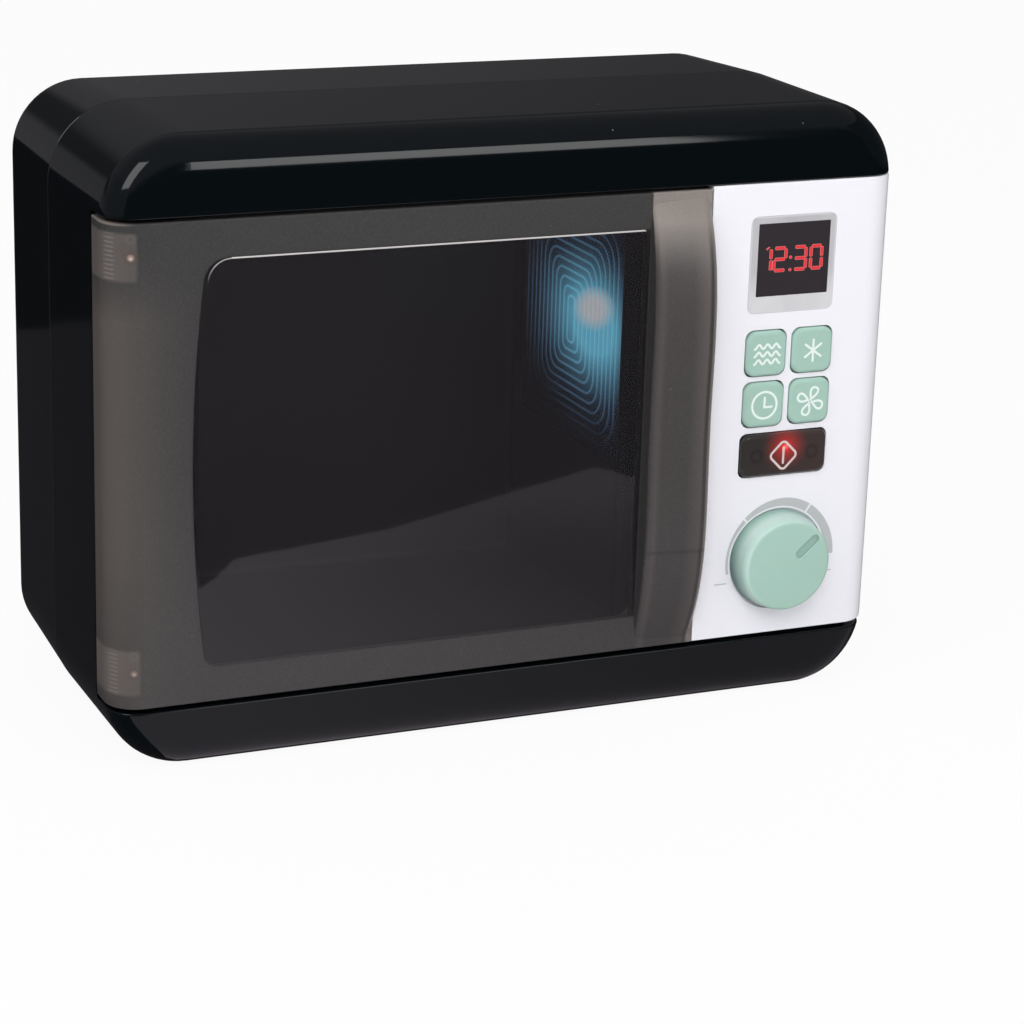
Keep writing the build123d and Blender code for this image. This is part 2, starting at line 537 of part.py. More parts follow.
with BuildPart() as door:
    add(door_tray)
    # raised polished window, bowed on its left side
    with BuildSketch(front_plane(FRONT + WINDOW_RAISE)) as window:
        with BuildLine():
            bow = ThreePointArc((WINDOW_LEFT_LOW, WINDOW_LOW), (WINDOW_LEFT_MID, WINDOW_BOW_Z),
                                (WINDOW_LEFT_HIGH, WINDOW_HIGH))
            Polyline(bow @ 1, (WINDOW_RIGHT, WINDOW_HIGH), (WINDOW_RIGHT, WINDOW_LOW), bow @ 0)
        make_face()
        fillet(window.vertices().group_by(Axis.Y)[-1].sort_by(Axis.X)[0], WINDOW_R_TOP)
        fillet(window.vertices().group_by(Axis.Y)[0].sort_by(Axis.X)[0], WINDOW_R_LOW)
        fillet(window.vertices().group_by(Axis.X)[-1], WINDOW_R_RIGHT)
    extrude(amount=2 * WINDOW_RAISE)
    # handle, hollow from behind
    add(handle_rounded.part)
    add(handle_inner, mode=Mode.SUBTRACT)
    block((HANDLE_LEFT + SKIN, HANDLE_RIGHT - SKIN), (FRONT - RUNNING, TUB_FRONT),
          (DOOR_LOW + 4 * SKIN, DOOR_HIGH - 4 * SKIN), mode=Mode.SUBTRACT)
    block((HANDLE_LEFT + SKIN / 2, HANDLE_RIGHT - SKIN / 2), (FRONT - HANDLE_RIB_REACH, FRONT + FLANGE),
          (HANDLE_RIB_Z - HANDLE_RIB_T / 2, HANDLE_RIB_Z + HANDLE_RIB_T / 2))
    # latch tongue
    block((TONGUE_X - TONGUE_T / 2, TONGUE_X + TONGUE_T / 2), (FRONT - TONGUE_ROOT, TONGUE_BACK),
          (TONGUE_Z - TONGUE_H / 2, TONGUE_Z + TONGUE_H / 2))
    block((TONGUE_X - TONGUE_HEAD_T / 2, TONGUE_X + TONGUE_HEAD_T / 2),
          (TONGUE_BACK - TONGUE_HEAD_L, TONGUE_BACK), (TONGUE_Z - TONGUE_H / 2, TONGUE_Z + TONGUE_H / 2))
    for knuckle in knuckles:
        add(knuckle)
    for low in KNUCKLE_LOWS:
        post(PIN_R + RUNNING, low - 1, low + KNUCKLE_H + 1, mode=Mode.SUBTRACT)
save("door", door.part)

for name, end in (("hinge_pin_upper", 1), ("hinge_pin_lower", -1)):
    held = RECESS_HIGH + PIN_GRIP if end > 0 else RECESS_LOW - PIN_GRIP
    free = KNUCKLE_LOWS[1] + KNUCKLE_H - PIN_IN_DOOR if end > 0 else KNUCKLE_LOWS[0] + PIN_IN_DOOR
    with BuildPart() as pin:
        post(PIN_R, min(held, free), max(held, free))
        tip = pin.faces().sort_by(Axis.Z)[0 if end > 0 else -1]
        chamfer(tip.edges(), PIN_R / 4)
    save(name, pin.part)

# spring clip behind the wall; its jaws stand as the tongue's head passes them
JAW = TONGUE_HEAD_T / 2 + LATCH_GAP
with BuildPart() as door_catch:
    block((TONGUE_X - CATCH_W / 2, TONGUE_X + CATCH_W / 2), (TUB_BACK, TUB_BACK + CATCH_T),
          (TONGUE_Z - CATCH_H / 2, TONGUE_Z + CATCH_H / 2))
    block((TONGUE_X - LEAF_NEAR, TONGUE_X + LEAF_NEAR), (TUB_BACK - 1, TUB_BACK + CATCH_T + 1),
          (TONGUE_Z - TONGUE_H / 2 - TONGUE_ROOM_Z, TONGUE_Z + TONGUE_H / 2 + TONGUE_ROOM_Z),
          mode=Mode.SUBTRACT)
    for side in (-1, 1):
        leaf = sorted((TONGUE_X + side * LEAF_NEAR, TONGUE_X + side * LEAF_FAR))
        block(leaf, (TUB_BACK, TONGUE_BACK + TONGUE_HEAD_L),
              (TONGUE_Z - TONGUE_H / 2, TONGUE_Z + TONGUE_H / 2))
        with BuildSketch(Plane.XY.offset(TONGUE_Z - TONGUE_H / 2)) as jaw:
            with BuildLine():
                Polyline(
                    (TONGUE_X + side * LEAF_FAR, TONGUE_BACK - JAW_START),
                    (TONGUE_X + side * JAW, TONGUE_BACK - JAW_FULL),
                    (TONGUE_X + side * JAW, TONGUE_BACK - JAW_EASE),
                    (TONGUE_X + side * LEAF_FAR, TONGUE_BACK - JAW_END),
                    close=True,
                )
            make_face()
        extrude(amount=TONGUE_H)
    for x, z, seat in CATCH_SCREWS:
        rod((x, z), SMALL_R, TUB_BACK - 1, seat + 1, mode=Mode.SUBTRACT)
save("door_catch", door_catch.part)

# ---------------------------------------------------------------- control fascia

fascia_tray = tray(FASCIA_LEFT, WIDTH, FASCIA_LOW, FASCIA_HIGH, FLANGE_T, 0)
THROUGH = (FRONT - WALL, TUB_FRONT)

with BuildPart() as control_fascia:
    add(fascia_tray)
    for x, z, seat in FASCIA_SCREWS:
        rod((x, z), FASCIA_BOSS_R, FRONT + SKIN / 2, TUB_FRONT)
    rod(KNOB_AT, SHAFT_R + WALL, FRONT + SKIN / 2, TUB_FRONT)
    plate(LABEL_AT, LABEL_W + 2 * LABEL_GAP, LABEL_H + 2 * LABEL_GAP, LABEL_R, FRONT - 1, FRONT + LABEL_T,
          mode=Mode.SUBTRACT)
    for at in BUTTONS.values():
        plate(at, BUTTON_W + 2 * BUTTON_GAP, BUTTON_H + 2 * BUTTON_GAP, BUTTON_R - BUTTON_HOLE_SHARPER,
              *THROUGH, mode=Mode.SUBTRACT)
    plate(START_AT, START_W + 2 * BUTTON_GAP, START_H + 2 * BUTTON_GAP, START_R - BUTTON_HOLE_SHARPER,
          *THROUGH, mode=Mode.SUBTRACT)
    rod(KNOB_AT, KNOB_BASE_R + KNOB_RIM_GAP, FRONT - 1, FRONT + KNOB_SINK, mode=Mode.SUBTRACT)
    rod(KNOB_AT, SHAFT_R + RUNNING, *THROUGH, mode=Mode.SUBTRACT)
    for x, z, seat in FASCIA_SCREWS:
        rod((x, z), SMALL_R, seat - SMALL_REACH, TUB_FRONT, mode=Mode.SUBTRACT)
save("control_fascia", control_fascia.part)

with BuildPart() as display_label:
    plate(LABEL_AT, LABEL_W, LABEL_H, LABEL_R, FRONT, FRONT + LABEL_T)
save("display_label", display_label.part)


def push_button(at, width, height, radius, stems):
    """Button cap with a soft edge, a flange behind the fascia and stems down to the keypad."""
    with BuildPart() as button:
        plate(at, width, height, radius, FRONT - BUTTON_PROUD, FRONT + SKIN + LATCH_GAP)
        fillet(button.faces().sort_by(Axis.Y)[0].edges(), BUTTON_EDGE)
        flange_front = FRONT + SKIN + LATCH_GAP
        plate(at, width + 2 * BUTTON_RIM, height + 2 * BUTTON_RIM, radius + BUTTON_RIM,
              flange_front, flange_front + BUTTON_FLANGE)
        for dx in stems:
            rod((at[0] + dx, at[1]), STEM_R, flange_front, STEM_END)
    return button.part


for name, at in BUTTONS.items():
    save(name, push_button(at, BUTTON_W, BUTTON_H, BUTTON_R, (0,)))

START_STEMS = (-START_STEM_PITCH / 2, START_STEM_PITCH / 2)
save("start_button", push_button(START_AT, START_W, START_H, START_R, START_STEMS))

# ---------------------------------------------------------------- knob and its click wheel

KNOB_BACK = FRONT + KNOB_SINK - KNOB_CLEAR
KNOB_FACE = FRONT - KNOB_H
AXIS_PLANE = Plane(origin=(KNOB_AT[0], 0, KNOB_AT[1]), x_dir=(1, 0, 0), z_dir=(0, 0, 1))

with BuildPart() as knob:
    with BuildSketch(AXIS_PLANE):
        with BuildLine():
            Polyline((0, KNOB_BACK), (KNOB_BASE_R, KNOB_BACK), (KNOB_FACE_R, KNOB_FACE), (0, KNOB_FACE),
                     close=True)
        make_face()
    revolve(axis=Axis((KNOB_AT[0], 0, KNOB_AT[1]), (0, 1, 0)))
    fillet(knob.edges().filter_by(GeomType.CIRCLE).sort_by(Axis.Y)[0], KNOB_ROUND)
    rod(KNOB_AT, KNOB_FACE_R - KNOB_WALL, KNOB_FACE + KNOB_WALL, KNOB_BACK + 1, mode=Mode.SUBTRACT)
    rod(KNOB_AT, SHAFT_R, KNOB_FACE + KNOB_WALL / 2, SHAFT_END)
    rod(KNOB_AT, SMALL_R, SHAFT_END - SMALL_REACH, SHAFT_END, mode=Mode.SUBTRACT)
    with BuildSketch(front_plane(KNOB_FACE + POINTER_DEEP)):
        with Locations(KNOB_AT):
            with PolarLocations(POINTER_R, 1, start_angle=POINTER_DEG):
                SlotOverall(POINTER_L, POINTER_W)
    extrude(amount=POINTER_DEEP, mode=Mode.SUBTRACT)
    face_edges = knob.edges().filter_by_position(Axis.Y, KNOB_FACE - TOUCH, KNOB_FACE + TOUCH)
    fillet(face_edges.sort_by(SortBy.LENGTH)[:-1], POINTER_EDGE)
save("knob", knob.part)

with BuildPart() as click_wheel:
    with BuildSketch(front_plane(SHAFT_END)):
        with Locations(KNOB_AT):
            Circle(WHEEL_ROOT_R)
            with PolarLocations(WHEEL_ROOT_R - TOOTH_ROOT, WHEEL_TEETH):
                Polygon((0, -TOOTH_HALF), (WHEEL_R - WHEEL_ROOT_R + TOOTH_ROOT, 0), (0, TOOTH_HALF),
                        align=None)
            Circle(SHAFT_R, mode=Mode.SUBTRACT)
    extrude(amount=WHEEL_T)
save("click_wheel", click_wheel.part)

CLICK_Z = KNOB_AT[1] + WHEEL_R + LATCH_GAP
CLICK_RIGHT = HATCH[0] + WALL / 5            # the foot ends just past the edge of the opening
LEAF_LOW, LEAF_HIGH = CLICK_Z + CLICK_TIP, CLICK_Z + CLICK_TIP + CLICK_LEAF_T
with BuildPart() as click_spring:
    with BuildSketch(front_plane(TUB_BACK + CLICK_T)):
        with BuildLine():
            Polyline(
                (CLICK_LEFT, CLICK_Z - CLICK_LEAF_T), (CLICK_RIGHT, CLICK_Z - CLICK_LEAF_T),
                (CLICK_RIGHT, LEAF_LOW), (KNOB_AT[0] - CLICK_TIP_HALF, LEAF_LOW), (KNOB_AT[0], CLICK_Z),
                (KNOB_AT[0] + CLICK_TIP_HALF, LEAF_LOW), (KNOB_AT[0] + CLICK_END, LEAF_LOW),
                (KNOB_AT[0] + CLICK_END, LEAF_HIGH), (CLICK_RIGHT, LEAF_HIGH),
                (CLICK_RIGHT, CLICK_Z + CLICK_FOOT), (CLICK_LEFT, CLICK_Z + CLICK_FOOT), close=True,
            )
        make_face()
    extrude(amount=CLICK_T)
    for x, z, seat in CLICK_SCREWS:
        rod((x, z), SMALL_R, TUB_BACK - 1, seat + 1, mode=Mode.SUBTRACT)
save("click_spring", click_spring.part)

# ---------------------------------------------------------------- circuit board and what is on it

with BuildPart() as circuit_board:
    block(BOARD[:2], (BOARD_FRONT, BOARD_FRONT + BOARD_T), BOARD[2:])
    for x, z, seat in BOARD_SCREWS:
        rod((x, z), SMALL_R, BOARD_FRONT - 1, seat + 1, mode=Mode.SUBTRACT)
save("circuit_board", circuit_board.part)

with BuildPart() as board_chip:
    block(CHIP[:2], (BOARD_FRONT + BOARD_T, BOARD_FRONT + BOARD_T + CHIP_T), CHIP[2:])
    chamfer(board_chip.faces().sort_by(Axis.Y)[-1].edges(), CHIP_EDGE)
save("board_chip", board_chip.part)

STEMS = list(BUTTONS.values()) + [(START_AT[0] + dx, START_AT[1]) for dx in START_STEMS]
with BuildPart() as rubber_keypad:
    block(KEYPAD[:2], (BOARD_FRONT - KEYPAD_T, BOARD_FRONT), KEYPAD[2:])
    for at in STEMS:
        with BuildSketch(front_plane(BOARD_FRONT - KEYPAD_T)) as foot:
            with Locations(at):
                Circle(DOME_R)
        with BuildSketch(front_plane(STEM_END)) as crown:
            with Locations(at):
                Circle(DOME_TOP_R)
        loft([foot.sketch, crown.sketch])
        rod(at, DOME_TOP_R - 1, STEM_END + 1, BOARD_FRONT + 1, mode=Mode.SUBTRACT)
    rod(START_LAMP_AT, START_LAMP_HOLE_R, BOARD_FRONT - 2 * KEYPAD_T, BOARD_FRONT + 1, mode=Mode.SUBTRACT)
save("rubber_keypad", rubber_keypad.part)


def lamp_body(plane, radius, length):
    """Round lamp with a domed end and a small flange, standing on a plane."""
    with BuildPart() as lamp:
        with BuildSketch(plane):
            Circle(radius)
        extrude(amount=length)
        fillet(lamp.faces().sort_by(Axis(plane.origin, plane.z_dir))[-1].edges(), radius * 0.9)
        with BuildSketch(plane):
            Circle(radius + LAMP_FLANGE)
        extrude(amount=LAMP_FLANGE_T)
    return lamp.part


START_LAMP_PLANE = Plane(origin=(START_LAMP_AT[0], BOARD_FRONT, START_LAMP_AT[1]),
                         x_dir=(1, 0, 0), z_dir=(0, -1, 0))
save("start_lamp", lamp_body(START_LAMP_PLANE, START_LAMP_R, START_LAMP_L))

# ---------------------------------------------------------------- lamp behind the light panel

PANEL_FLANGE_BACK = CAVITY_RIGHT + LINER + PANEL_LIP_T
LAMP_BOARD_X = PANEL_FLANGE_BACK + REFLECTOR_L
with BuildPart() as lamp_reflector:
    for thickness, mode in ((0, Mode.ADD), (REFLECTOR_T, Mode.SUBTRACT)):
        ends = []
        for x, radius in ((PANEL_FLANGE_BACK, REFLECTOR_MOUTH_R), (LAMP_BOARD_X, REFLECTOR_THROAT_R)):
            with BuildSketch(Plane.YZ.offset(x)) as end:
                with Locations(LAMP_AT):
                    Circle(radius - thickness)
            ends.append(end.sketch)
        loft(ends, mode=mode)
save("lamp_reflector", lamp_reflector.part)

with BuildPart() as lamp_board:
    block((LAMP_BOARD_X, LAMP_BOARD_X + BOARD_T),
          (LAMP_AT[0] - LAMP_BOARD_W / 2, LAMP_AT[0] + LAMP_BOARD_W / 2),
          (LAMP_AT[1] - LAMP_BOARD_H / 2, LAMP_AT[1] + LAMP_BOARD_H / 2))
save("lamp_board", lamp_board.part)

CAVITY_LAMP_PLANE = Plane(origin=(LAMP_BOARD_X, LAMP_AT[0], LAMP_AT[1]), x_dir=(0, 1, 0), z_dir=(-1, 0, 0))
save("cavity_lamp", lamp_body(CAVITY_LAMP_PLANE, CAVITY_LAMP_R, CAVITY_LAMP_L))

# ---------------------------------------------------------------- battery bay

BAY_LEFT, BAY_RIGHT = BAY_AT[0] - BAY_W / 2, BAY_AT[0] + BAY_W / 2
BAY_LOW, BAY_HIGH = BAY_AT[1] - BAY_H / 2, BAY_AT[1] + BAY_H / 2
CELL_Y = BACK_INSIDE - CELL_R - CELL_SINK
CELL_XS = [BAY_AT[0] + (i - (CELL_COUNT - 1) / 2) * CELL_PITCH for i in range(CELL_COUNT)]
SPRING_L = BAY_H - CELL_L - NUB - 2 * CONTACT_T

with BuildPart() as battery_box:
    block((BAY_LEFT - BAY_WALL, BAY_RIGHT + BAY_WALL), (BAY_FRONT, BACK_INSIDE),
          (BAY_LOW - BAY_WALL, BAY_HIGH + BAY_WALL))
    block((BAY_LEFT, BAY_RIGHT), (BAY_FRONT + BAY_WALL, BACK_INSIDE + 1), (BAY_LOW, BAY_HIGH),
          mode=Mode.SUBTRACT)
save("battery_box", battery_box.part)

with BuildPart() as batteries:
    for x in CELL_XS:
        with BuildSketch(Plane.XY.offset(BAY_HIGH - CONTACT_T - NUB - CELL_L)) as can:
            with Locations((x, CELL_Y)):
                Circle(CELL_R)
        extrude(can.sketch, amount=CELL_L)
        with BuildSketch(Plane.XY.offset(BAY_HIGH - CONTACT_T - NUB)) as nub:
            with Locations((x, CELL_Y)):
                Circle(NUB_R)
        extrude(nub.sketch, amount=NUB)
save("batteries", batteries.part)

with BuildPart() as battery_contacts:
    for x in CELL_XS:
        for low in (BAY_LOW, BAY_HIGH - CONTACT_T):
            block((x - CONTACT_W / 2, x + CONTACT_W / 2), (CELL_Y - CONTACT_W / 2, CELL_Y + CONTACT_W / 2),
                  (low, low + CONTACT_T))
save("battery_contacts", battery_contacts.part)

with BuildPart() as battery_springs:
    for x in CELL_XS:
        for turn in range(SPRING_TURNS):
            level = BAY_LOW + CONTACT_T + (turn + 0.5) * SPRING_L / SPRING_TURNS
            with Locations((x, CELL_Y, level)):
                Torus(SPRING_R - SPRING_TAPER * turn, SPRING_L / SPRING_TURNS / 2)
save("battery_springs", battery_springs.part)

with BuildPart() as battery_cover:
    plate(cover_mid, COVER_W, COVER_HIGH - COVER_LOW, COVER_R, BACK - COVER_T, BACK)
    for tab in (BAY_LEFT + COVER_TAB_X, BAY_RIGHT - COVER_TAB_X - COVER_TAB_W):
        block((tab, tab + COVER_TAB_W), (BACK_INSIDE - COVER_TAB_T, BACK - COVER_T),
              (BAY_LOW + COVER_TAB_GAP, BAY_LOW + COVER_TAB_GAP + COVER_TAB_H))
    for rib in range(COVER_GRIPS):
        level = BAY_HIGH - (rib + 1) * COVER_GRIP_PITCH - 1
        with BuildSketch(front_plane(BACK)) as grip:
            with Locations((BAY_AT[0], level)):
                SlotOverall(COVER_GRIP_L, COVER_GRIP_W)
        extrude(grip.sketch, amount=COVER_GRIP_DEEP, mode=Mode.SUBTRACT)
    rod(COVER_SCREW, SMALL_R + RUNNING, BACK - COVER_T - 1, BACK + 1, mode=Mode.SUBTRACT)
    rod(COVER_SCREW, SMALL_HEAD_R + RUNNING, BACK - COVER_HEAD_SINK, BACK + 1, mode=Mode.SUBTRACT)
save("battery_cover", battery_cover.part)

# ---------------------------------------------------------------- loudspeaker

SPEAKER_AXIS = Plane(origin=(SPEAKER_AT[0], 0, SPEAKER_AT[1]), x_dir=(1, 0, 0), z_dir=(0, 0, 1))
MAGNET_BACK = SPEAKER_FRONT - SPEAKER_DEEP
with BuildPart() as loudspeaker:
    with BuildSketch(SPEAKER_AXIS):
        with BuildLine():
            Polyline(
                (0, MAGNET_BACK), (MAGNET_R, MAGNET_BACK), (MAGNET_R, MAGNET_BACK + MAGNET_L),
                (SPEAKER_R - 2 * SPEAKER_RIM, SPEAKER_FRONT - SPEAKER_EAR_T - 1),
                (SPEAKER_R, SPEAKER_FRONT - SPEAKER_EAR_T), (SPEAKER_R, SPEAKER_FRONT + SPEAKER_RIM),
                (SPEAKER_R - SPEAKER_RIM, SPEAKER_FRONT + SPEAKER_RIM),
                (SPEAKER_R - 2 * SPEAKER_RIM, SPEAKER_FRONT), (CAP_R, SPEAKER_FRONT - CONE_DEEP),
                (0, SPEAKER_FRONT - CAP_DEEP), close=True,
            )
        make_face()
    revolve(axis=Axis((SPEAKER_AT[0], 0, SPEAKER_AT[1]), (0, 1, 0)))
    with BuildSketch(front_plane(SPEAKER_FRONT)) as ears:
        with Locations(SPEAKER_AT):
            with PolarLocations(EAR_R + SCREW_POST_R - EAR_L / 2, len(SPEAKER_SCREWS), start_angle=90):
                SlotOverall(EAR_L, 2 * SCREW_POST_R)
    extrude(ears.sketch, amount=SPEAKER_EAR_T)
    for at in SPEAKER_SCREWS:
        rod(at, SMALL_R, SPEAKER_FRONT - 3, SPEAKER_FRONT + 1, mode=Mode.SUBTRACT)
save("loudspeaker", loudspeaker.part)

# ---------------------------------------------------------------- screws

def cross(at, head_r, top, toward):
    """Cross recess in the head of a screw along Y."""
    depths = sorted((top, top - toward * CROSS_DEEP))
    arm, half = CROSS_L * head_r, CROSS_W * head_r / 2
    block((at[0] - arm, at[0] + arm), depths, (at[1] - half, at[1] + half), mode=Mode.SUBTRACT)
    block((at[0] - half, at[0] + half), depths, (at[1] - arm, at[1] + arm), mode=Mode.SUBTRACT)


def screw(at, seat, radius, head_r, head_h, reach, toward=1):
    """Screw along Y: its head stands off the seat, its shank runs the other way."""
    rod(at, head_r, seat, seat + toward * head_h)
    rod(at, radius, seat - toward * reach, seat)
    cross(at, head_r, seat + toward * head_h, toward)


WASHER_R, WASHER_T = SMALL_HEAD_R + 2, 1.0

with BuildPart() as case_screws:
    for at in CASE_SCREWS:
        screw(at, SCREW_SEAT, CASE_SCREW_R, CASE_HEAD_R, CASE_HEAD_H, CASE_SCREW_REACH)
save("case_screws", case_screws.part)

with BuildPart() as front_screws:
    for x, z, seat in FASCIA_SCREWS + BOARD_SCREWS + LINER_SCREWS + CATCH_SCREWS + CLICK_SCREWS:
        screw((x, z), seat, SMALL_R, SMALL_HEAD_R, SMALL_HEAD_H, SMALL_REACH)
save("front_screws", front_screws.part)

with BuildPart() as knob_screw:
    rod(KNOB_AT, WASHER_R, SHAFT_END, SHAFT_END + WASHER_T)
    screw(KNOB_AT, SHAFT_END + WASHER_T, SMALL_R, SMALL_HEAD_R, SMALL_HEAD_H, SMALL_REACH + WASHER_T)
save("knob_screw", knob_screw.part)

with BuildPart() as speaker_screws:
    for at in SPEAKER_SCREWS:
        screw(at, SPEAKER_FRONT - SPEAKER_EAR_T, SMALL_R, SMALL_HEAD_R, SMALL_HEAD_H, SPEAKER_SCREW_REACH, -1)
save("speaker_screws", speaker_screws.part)

with BuildPart() as battery_cover_screw:
    screw(COVER_SCREW, BACK - COVER_HEAD_SINK, SMALL_R, SMALL_HEAD_R, COVER_HEAD_SINK - RUNNING,
          SMALL_REACH - COVER_HEAD_SINK)
save("battery_cover_screw", battery_cover_screw.part)

# ---------------------------------------------------------------- wires

BOARD_BACK = BOARD_FRONT + BOARD_T
WIRE_PITCH = 4.0


def bend_radii(route):
    """Largest arc that each corner of a route takes without using up the runs beside it."""
    points = [Vector(*point) for point in route]
    radii = []
    for before, corner, after in zip(points, points[1:], points[2:]):
        arriving, leaving = corner - before, after - corner
        half_turn = radians(arriving.get_angle(leaving)) / 2
        radii.append(BEND_SHARE * min(arriving.length, leaving.length) / tan(half_turn))
    return radii


def wire(name, route):
    """Insulated wire along straight runs joined by tangent arcs."""
    radii = bend_radii(route)
    with BuildPart() as run:
        with BuildLine():
            path = FilletPolyline(*route, radius=radii)
        with BuildSketch(Plane(origin=path @ 0, z_dir=path % 0)):
            Circle(WIRE_R)
        sweep()
    print(name, "length", round(path.length, 1), "bend radii", [round(radius, 1) for radius in radii])
    return run.part


def pair(name, route, apart):
    """Two wires side by side, the second one moved over by apart."""
    second = [tuple(a + b for a, b in zip(point, apart)) for point in route]
    first_run, second_run = wire(name, route), wire(name, second)
    with BuildPart() as both:
        add(first_run)
        add(second_run)
    save(name, both.part)


BATTERY_WIRE_X = BAY_AT[0] - WIRE_PITCH
pair("battery_wires",
     [(BATTERY_WIRE_X, BAY_FRONT, 46), (BATTERY_WIRE_X, 30, 46), (BATTERY_WIRE_X, 0, 60),
      (BATTERY_WIRE_X, -34, 92), (BATTERY_WIRE_X, BOARD_BACK, 92)],
     (WIRE_PITCH, 0, 0))
SPEAKER_WIRE_X = SPEAKER_AT[0] - 2 * WIRE_PITCH
pair("speaker_wires",
     [(SPEAKER_WIRE_X, MAGNET_BACK, 146), (SPEAKER_WIRE_X, 30, 146), (SPEAKER_WIRE_X, -10, 134),
      (SPEAKER_WIRE_X, -36, 120), (SPEAKER_WIRE_X, BOARD_BACK, 120)],
     (WIRE_PITCH, 0, 0))
LAMP_WIRE_Y = LAMP_AT[0] + 2 * WIRE_PITCH
pair("lamp_wires",
     [(LAMP_BOARD_X + BOARD_T, LAMP_WIRE_Y, 147), (74, LAMP_WIRE_Y, 147), (90, LAMP_WIRE_Y, 140),
      (98, LAMP_AT[0], 134), (98, BOARD_BACK, 134)],
     (0, 0, WIRE_PITCH))
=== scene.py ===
"""Toy microwave oven: finishes, prints and studio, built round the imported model."""

from math import atan2, cos, degrees, hypot, pi, radians, sin

import bpy
from bpy.props import FloatProperty, FloatVectorProperty, PointerProperty
from mathutils import Matrix, Vector


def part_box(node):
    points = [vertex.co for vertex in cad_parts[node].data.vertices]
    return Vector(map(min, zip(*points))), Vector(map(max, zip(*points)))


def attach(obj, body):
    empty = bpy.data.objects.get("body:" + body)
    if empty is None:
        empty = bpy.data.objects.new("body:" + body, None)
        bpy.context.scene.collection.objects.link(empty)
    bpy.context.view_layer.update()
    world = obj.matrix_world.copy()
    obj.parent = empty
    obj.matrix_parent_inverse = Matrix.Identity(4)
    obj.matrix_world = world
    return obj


bl_info = {
    "name": "Toy microwave oven",
    "version": (1, 0, 0),
    "blender": (4, 5, 0),
    "location": "3D View > Sidebar > Toy Oven",
    "description": "Finishes, prints and studio for a toy microwave oven",
    "category": "Object",
}

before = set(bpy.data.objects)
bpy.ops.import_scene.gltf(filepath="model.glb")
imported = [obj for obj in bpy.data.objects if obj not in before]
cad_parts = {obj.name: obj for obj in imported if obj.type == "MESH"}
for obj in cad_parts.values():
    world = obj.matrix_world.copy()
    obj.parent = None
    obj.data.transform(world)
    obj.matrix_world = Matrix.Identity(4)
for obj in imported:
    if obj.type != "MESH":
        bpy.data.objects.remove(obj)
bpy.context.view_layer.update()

MM = 0.001


# ------------------------------------------------------------------ places taken from the frame


def middle(node):
    """Centre of a node seen from the front, as (x, z)."""
    low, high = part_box(node)
    return (low.x + high.x) / 2, (low.z + high.z) / 2


CASE_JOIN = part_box("case_front")[1].y
DOOR_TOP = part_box("door")[1].z
FASCIA_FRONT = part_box("control_fascia")[0].y
LABEL_LOW, LABEL_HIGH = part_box("display_label")
KNOB_LOW, KNOB_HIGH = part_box("knob")
KNOB_MIDDLE = middle("knob")
PANEL_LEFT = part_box("light_panel")[0].x
CAVITY_LAMP = (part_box("cavity_lamp")[0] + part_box("cavity_lamp")[1]) / 2
START_LAMP = middle("start_lamp")
START_POST = 12.0 * MM

# the door: where its raised window, its handle and its hinge blocks are
FRAME_FACE = FASCIA_FRONT
WINDOW_LEFT, WINDOW_RIGHT = -122.5 * MM, 49.5 * MM
WINDOW_LOW, WINDOW_HIGH = 39.7 * MM, 191.3 * MM
WINDOW_MIDDLE = ((WINDOW_LEFT + WINDOW_RIGHT) / 2, (WINDOW_LOW + WINDOW_HIGH) / 2)
WINDOW_BOW = 3.6 * MM
WINDOW_CORNER = 9.0 * MM
HANDLE_LEFT = 51.5 * MM
HANDLE_RIB = 67.0 * MM
HINGE_LEVELS = (40.0 * MM, 193.0 * MM)
HINGE_BLOCK = 17.0 * MM
HINGE_BLOCK_EDGE = -145.6 * MM
HINGE_BOSS = -147.7 * MM
HINGE_RIB_PITCH = 1.6 * MM

# the spots over a hinge pin: radius, drop below the pin, weight and tone
HINGE_SPOTS = (
    (2.4 * MM, 0.0, 0.5, (92, 72, 64)),
    (1.1 * MM, 0.0, 0.7, (166, 146, 136)),
    (0.3 * MM, 0.3 * MM, 1.0, (214, 198, 188)),
)

# the door's faint gate marks: place across, height and radius in millimetres
GATE_MARKS = ((-134.0, 194.0, 4.2), (-134.5, 60.0, 4.0), (-60.0, 198.5, 3.6), (-134.0, 126.0, 4.2),
              (66.0, 121.0, 3.7), (66.0, 97.0, 3.7), (66.5, 60.0, 3.7))

FRONT_VIEW = Matrix(((1, 0, 0, 0), (0, 0, -1, 0), (0, 1, 0, 0), (0, 0, 0, 1)))
SIDE_VIEW = Matrix(((0, 0, 1, 0), (1, 0, 0, 0), (0, 1, 0, 0), (0, 0, 0, 1)))

# the ridges moulded round one another on the light panel, half widths and half heights
RIDGE, RIDGE_RISE, RIDGES = 0.9 * MM, 0.4 * MM, 10
RIDGE_FIRST, RIDGE_STEP = (3.6 * MM, 9.6 * MM), (3.8 * MM, 3.3 * MM)
PANEL_MIDDLE = (-17.0 * MM, 144.0 * MM)

# the display's digits, each with its left edge and its width in millimetres, and its colon
DIGITS = (("1", 98.9, 3.1), ("2", 103.4, 4.9), ("3", 112.0, 4.9), ("0", 119.1, 4.6))
DIGIT_FOOT = 16.3 * MM
COLON, COLON_RADIUS, COLON_GAP = 110.4 * MM, 0.5 * MM, 4.8 * MM


# ------------------------------------------------------------------ settings


def seen(red, green, blue):
    """A colour as the eye sees it, from 0 to 255, in linear values."""
    return tuple(
        c / 12.92 if c <= 0.04045 else ((c + 0.055) / 1.055) ** 2.4
        for c in (red / 255, green / 255, blue / 255)
    )


def colour_setting(name, description, red, green, blue):
    return FloatVectorProperty(
        name=name, description=description, subtype="COLOR", size=3, min=0, max=1,
        default=seen(red, green, blue),
    )


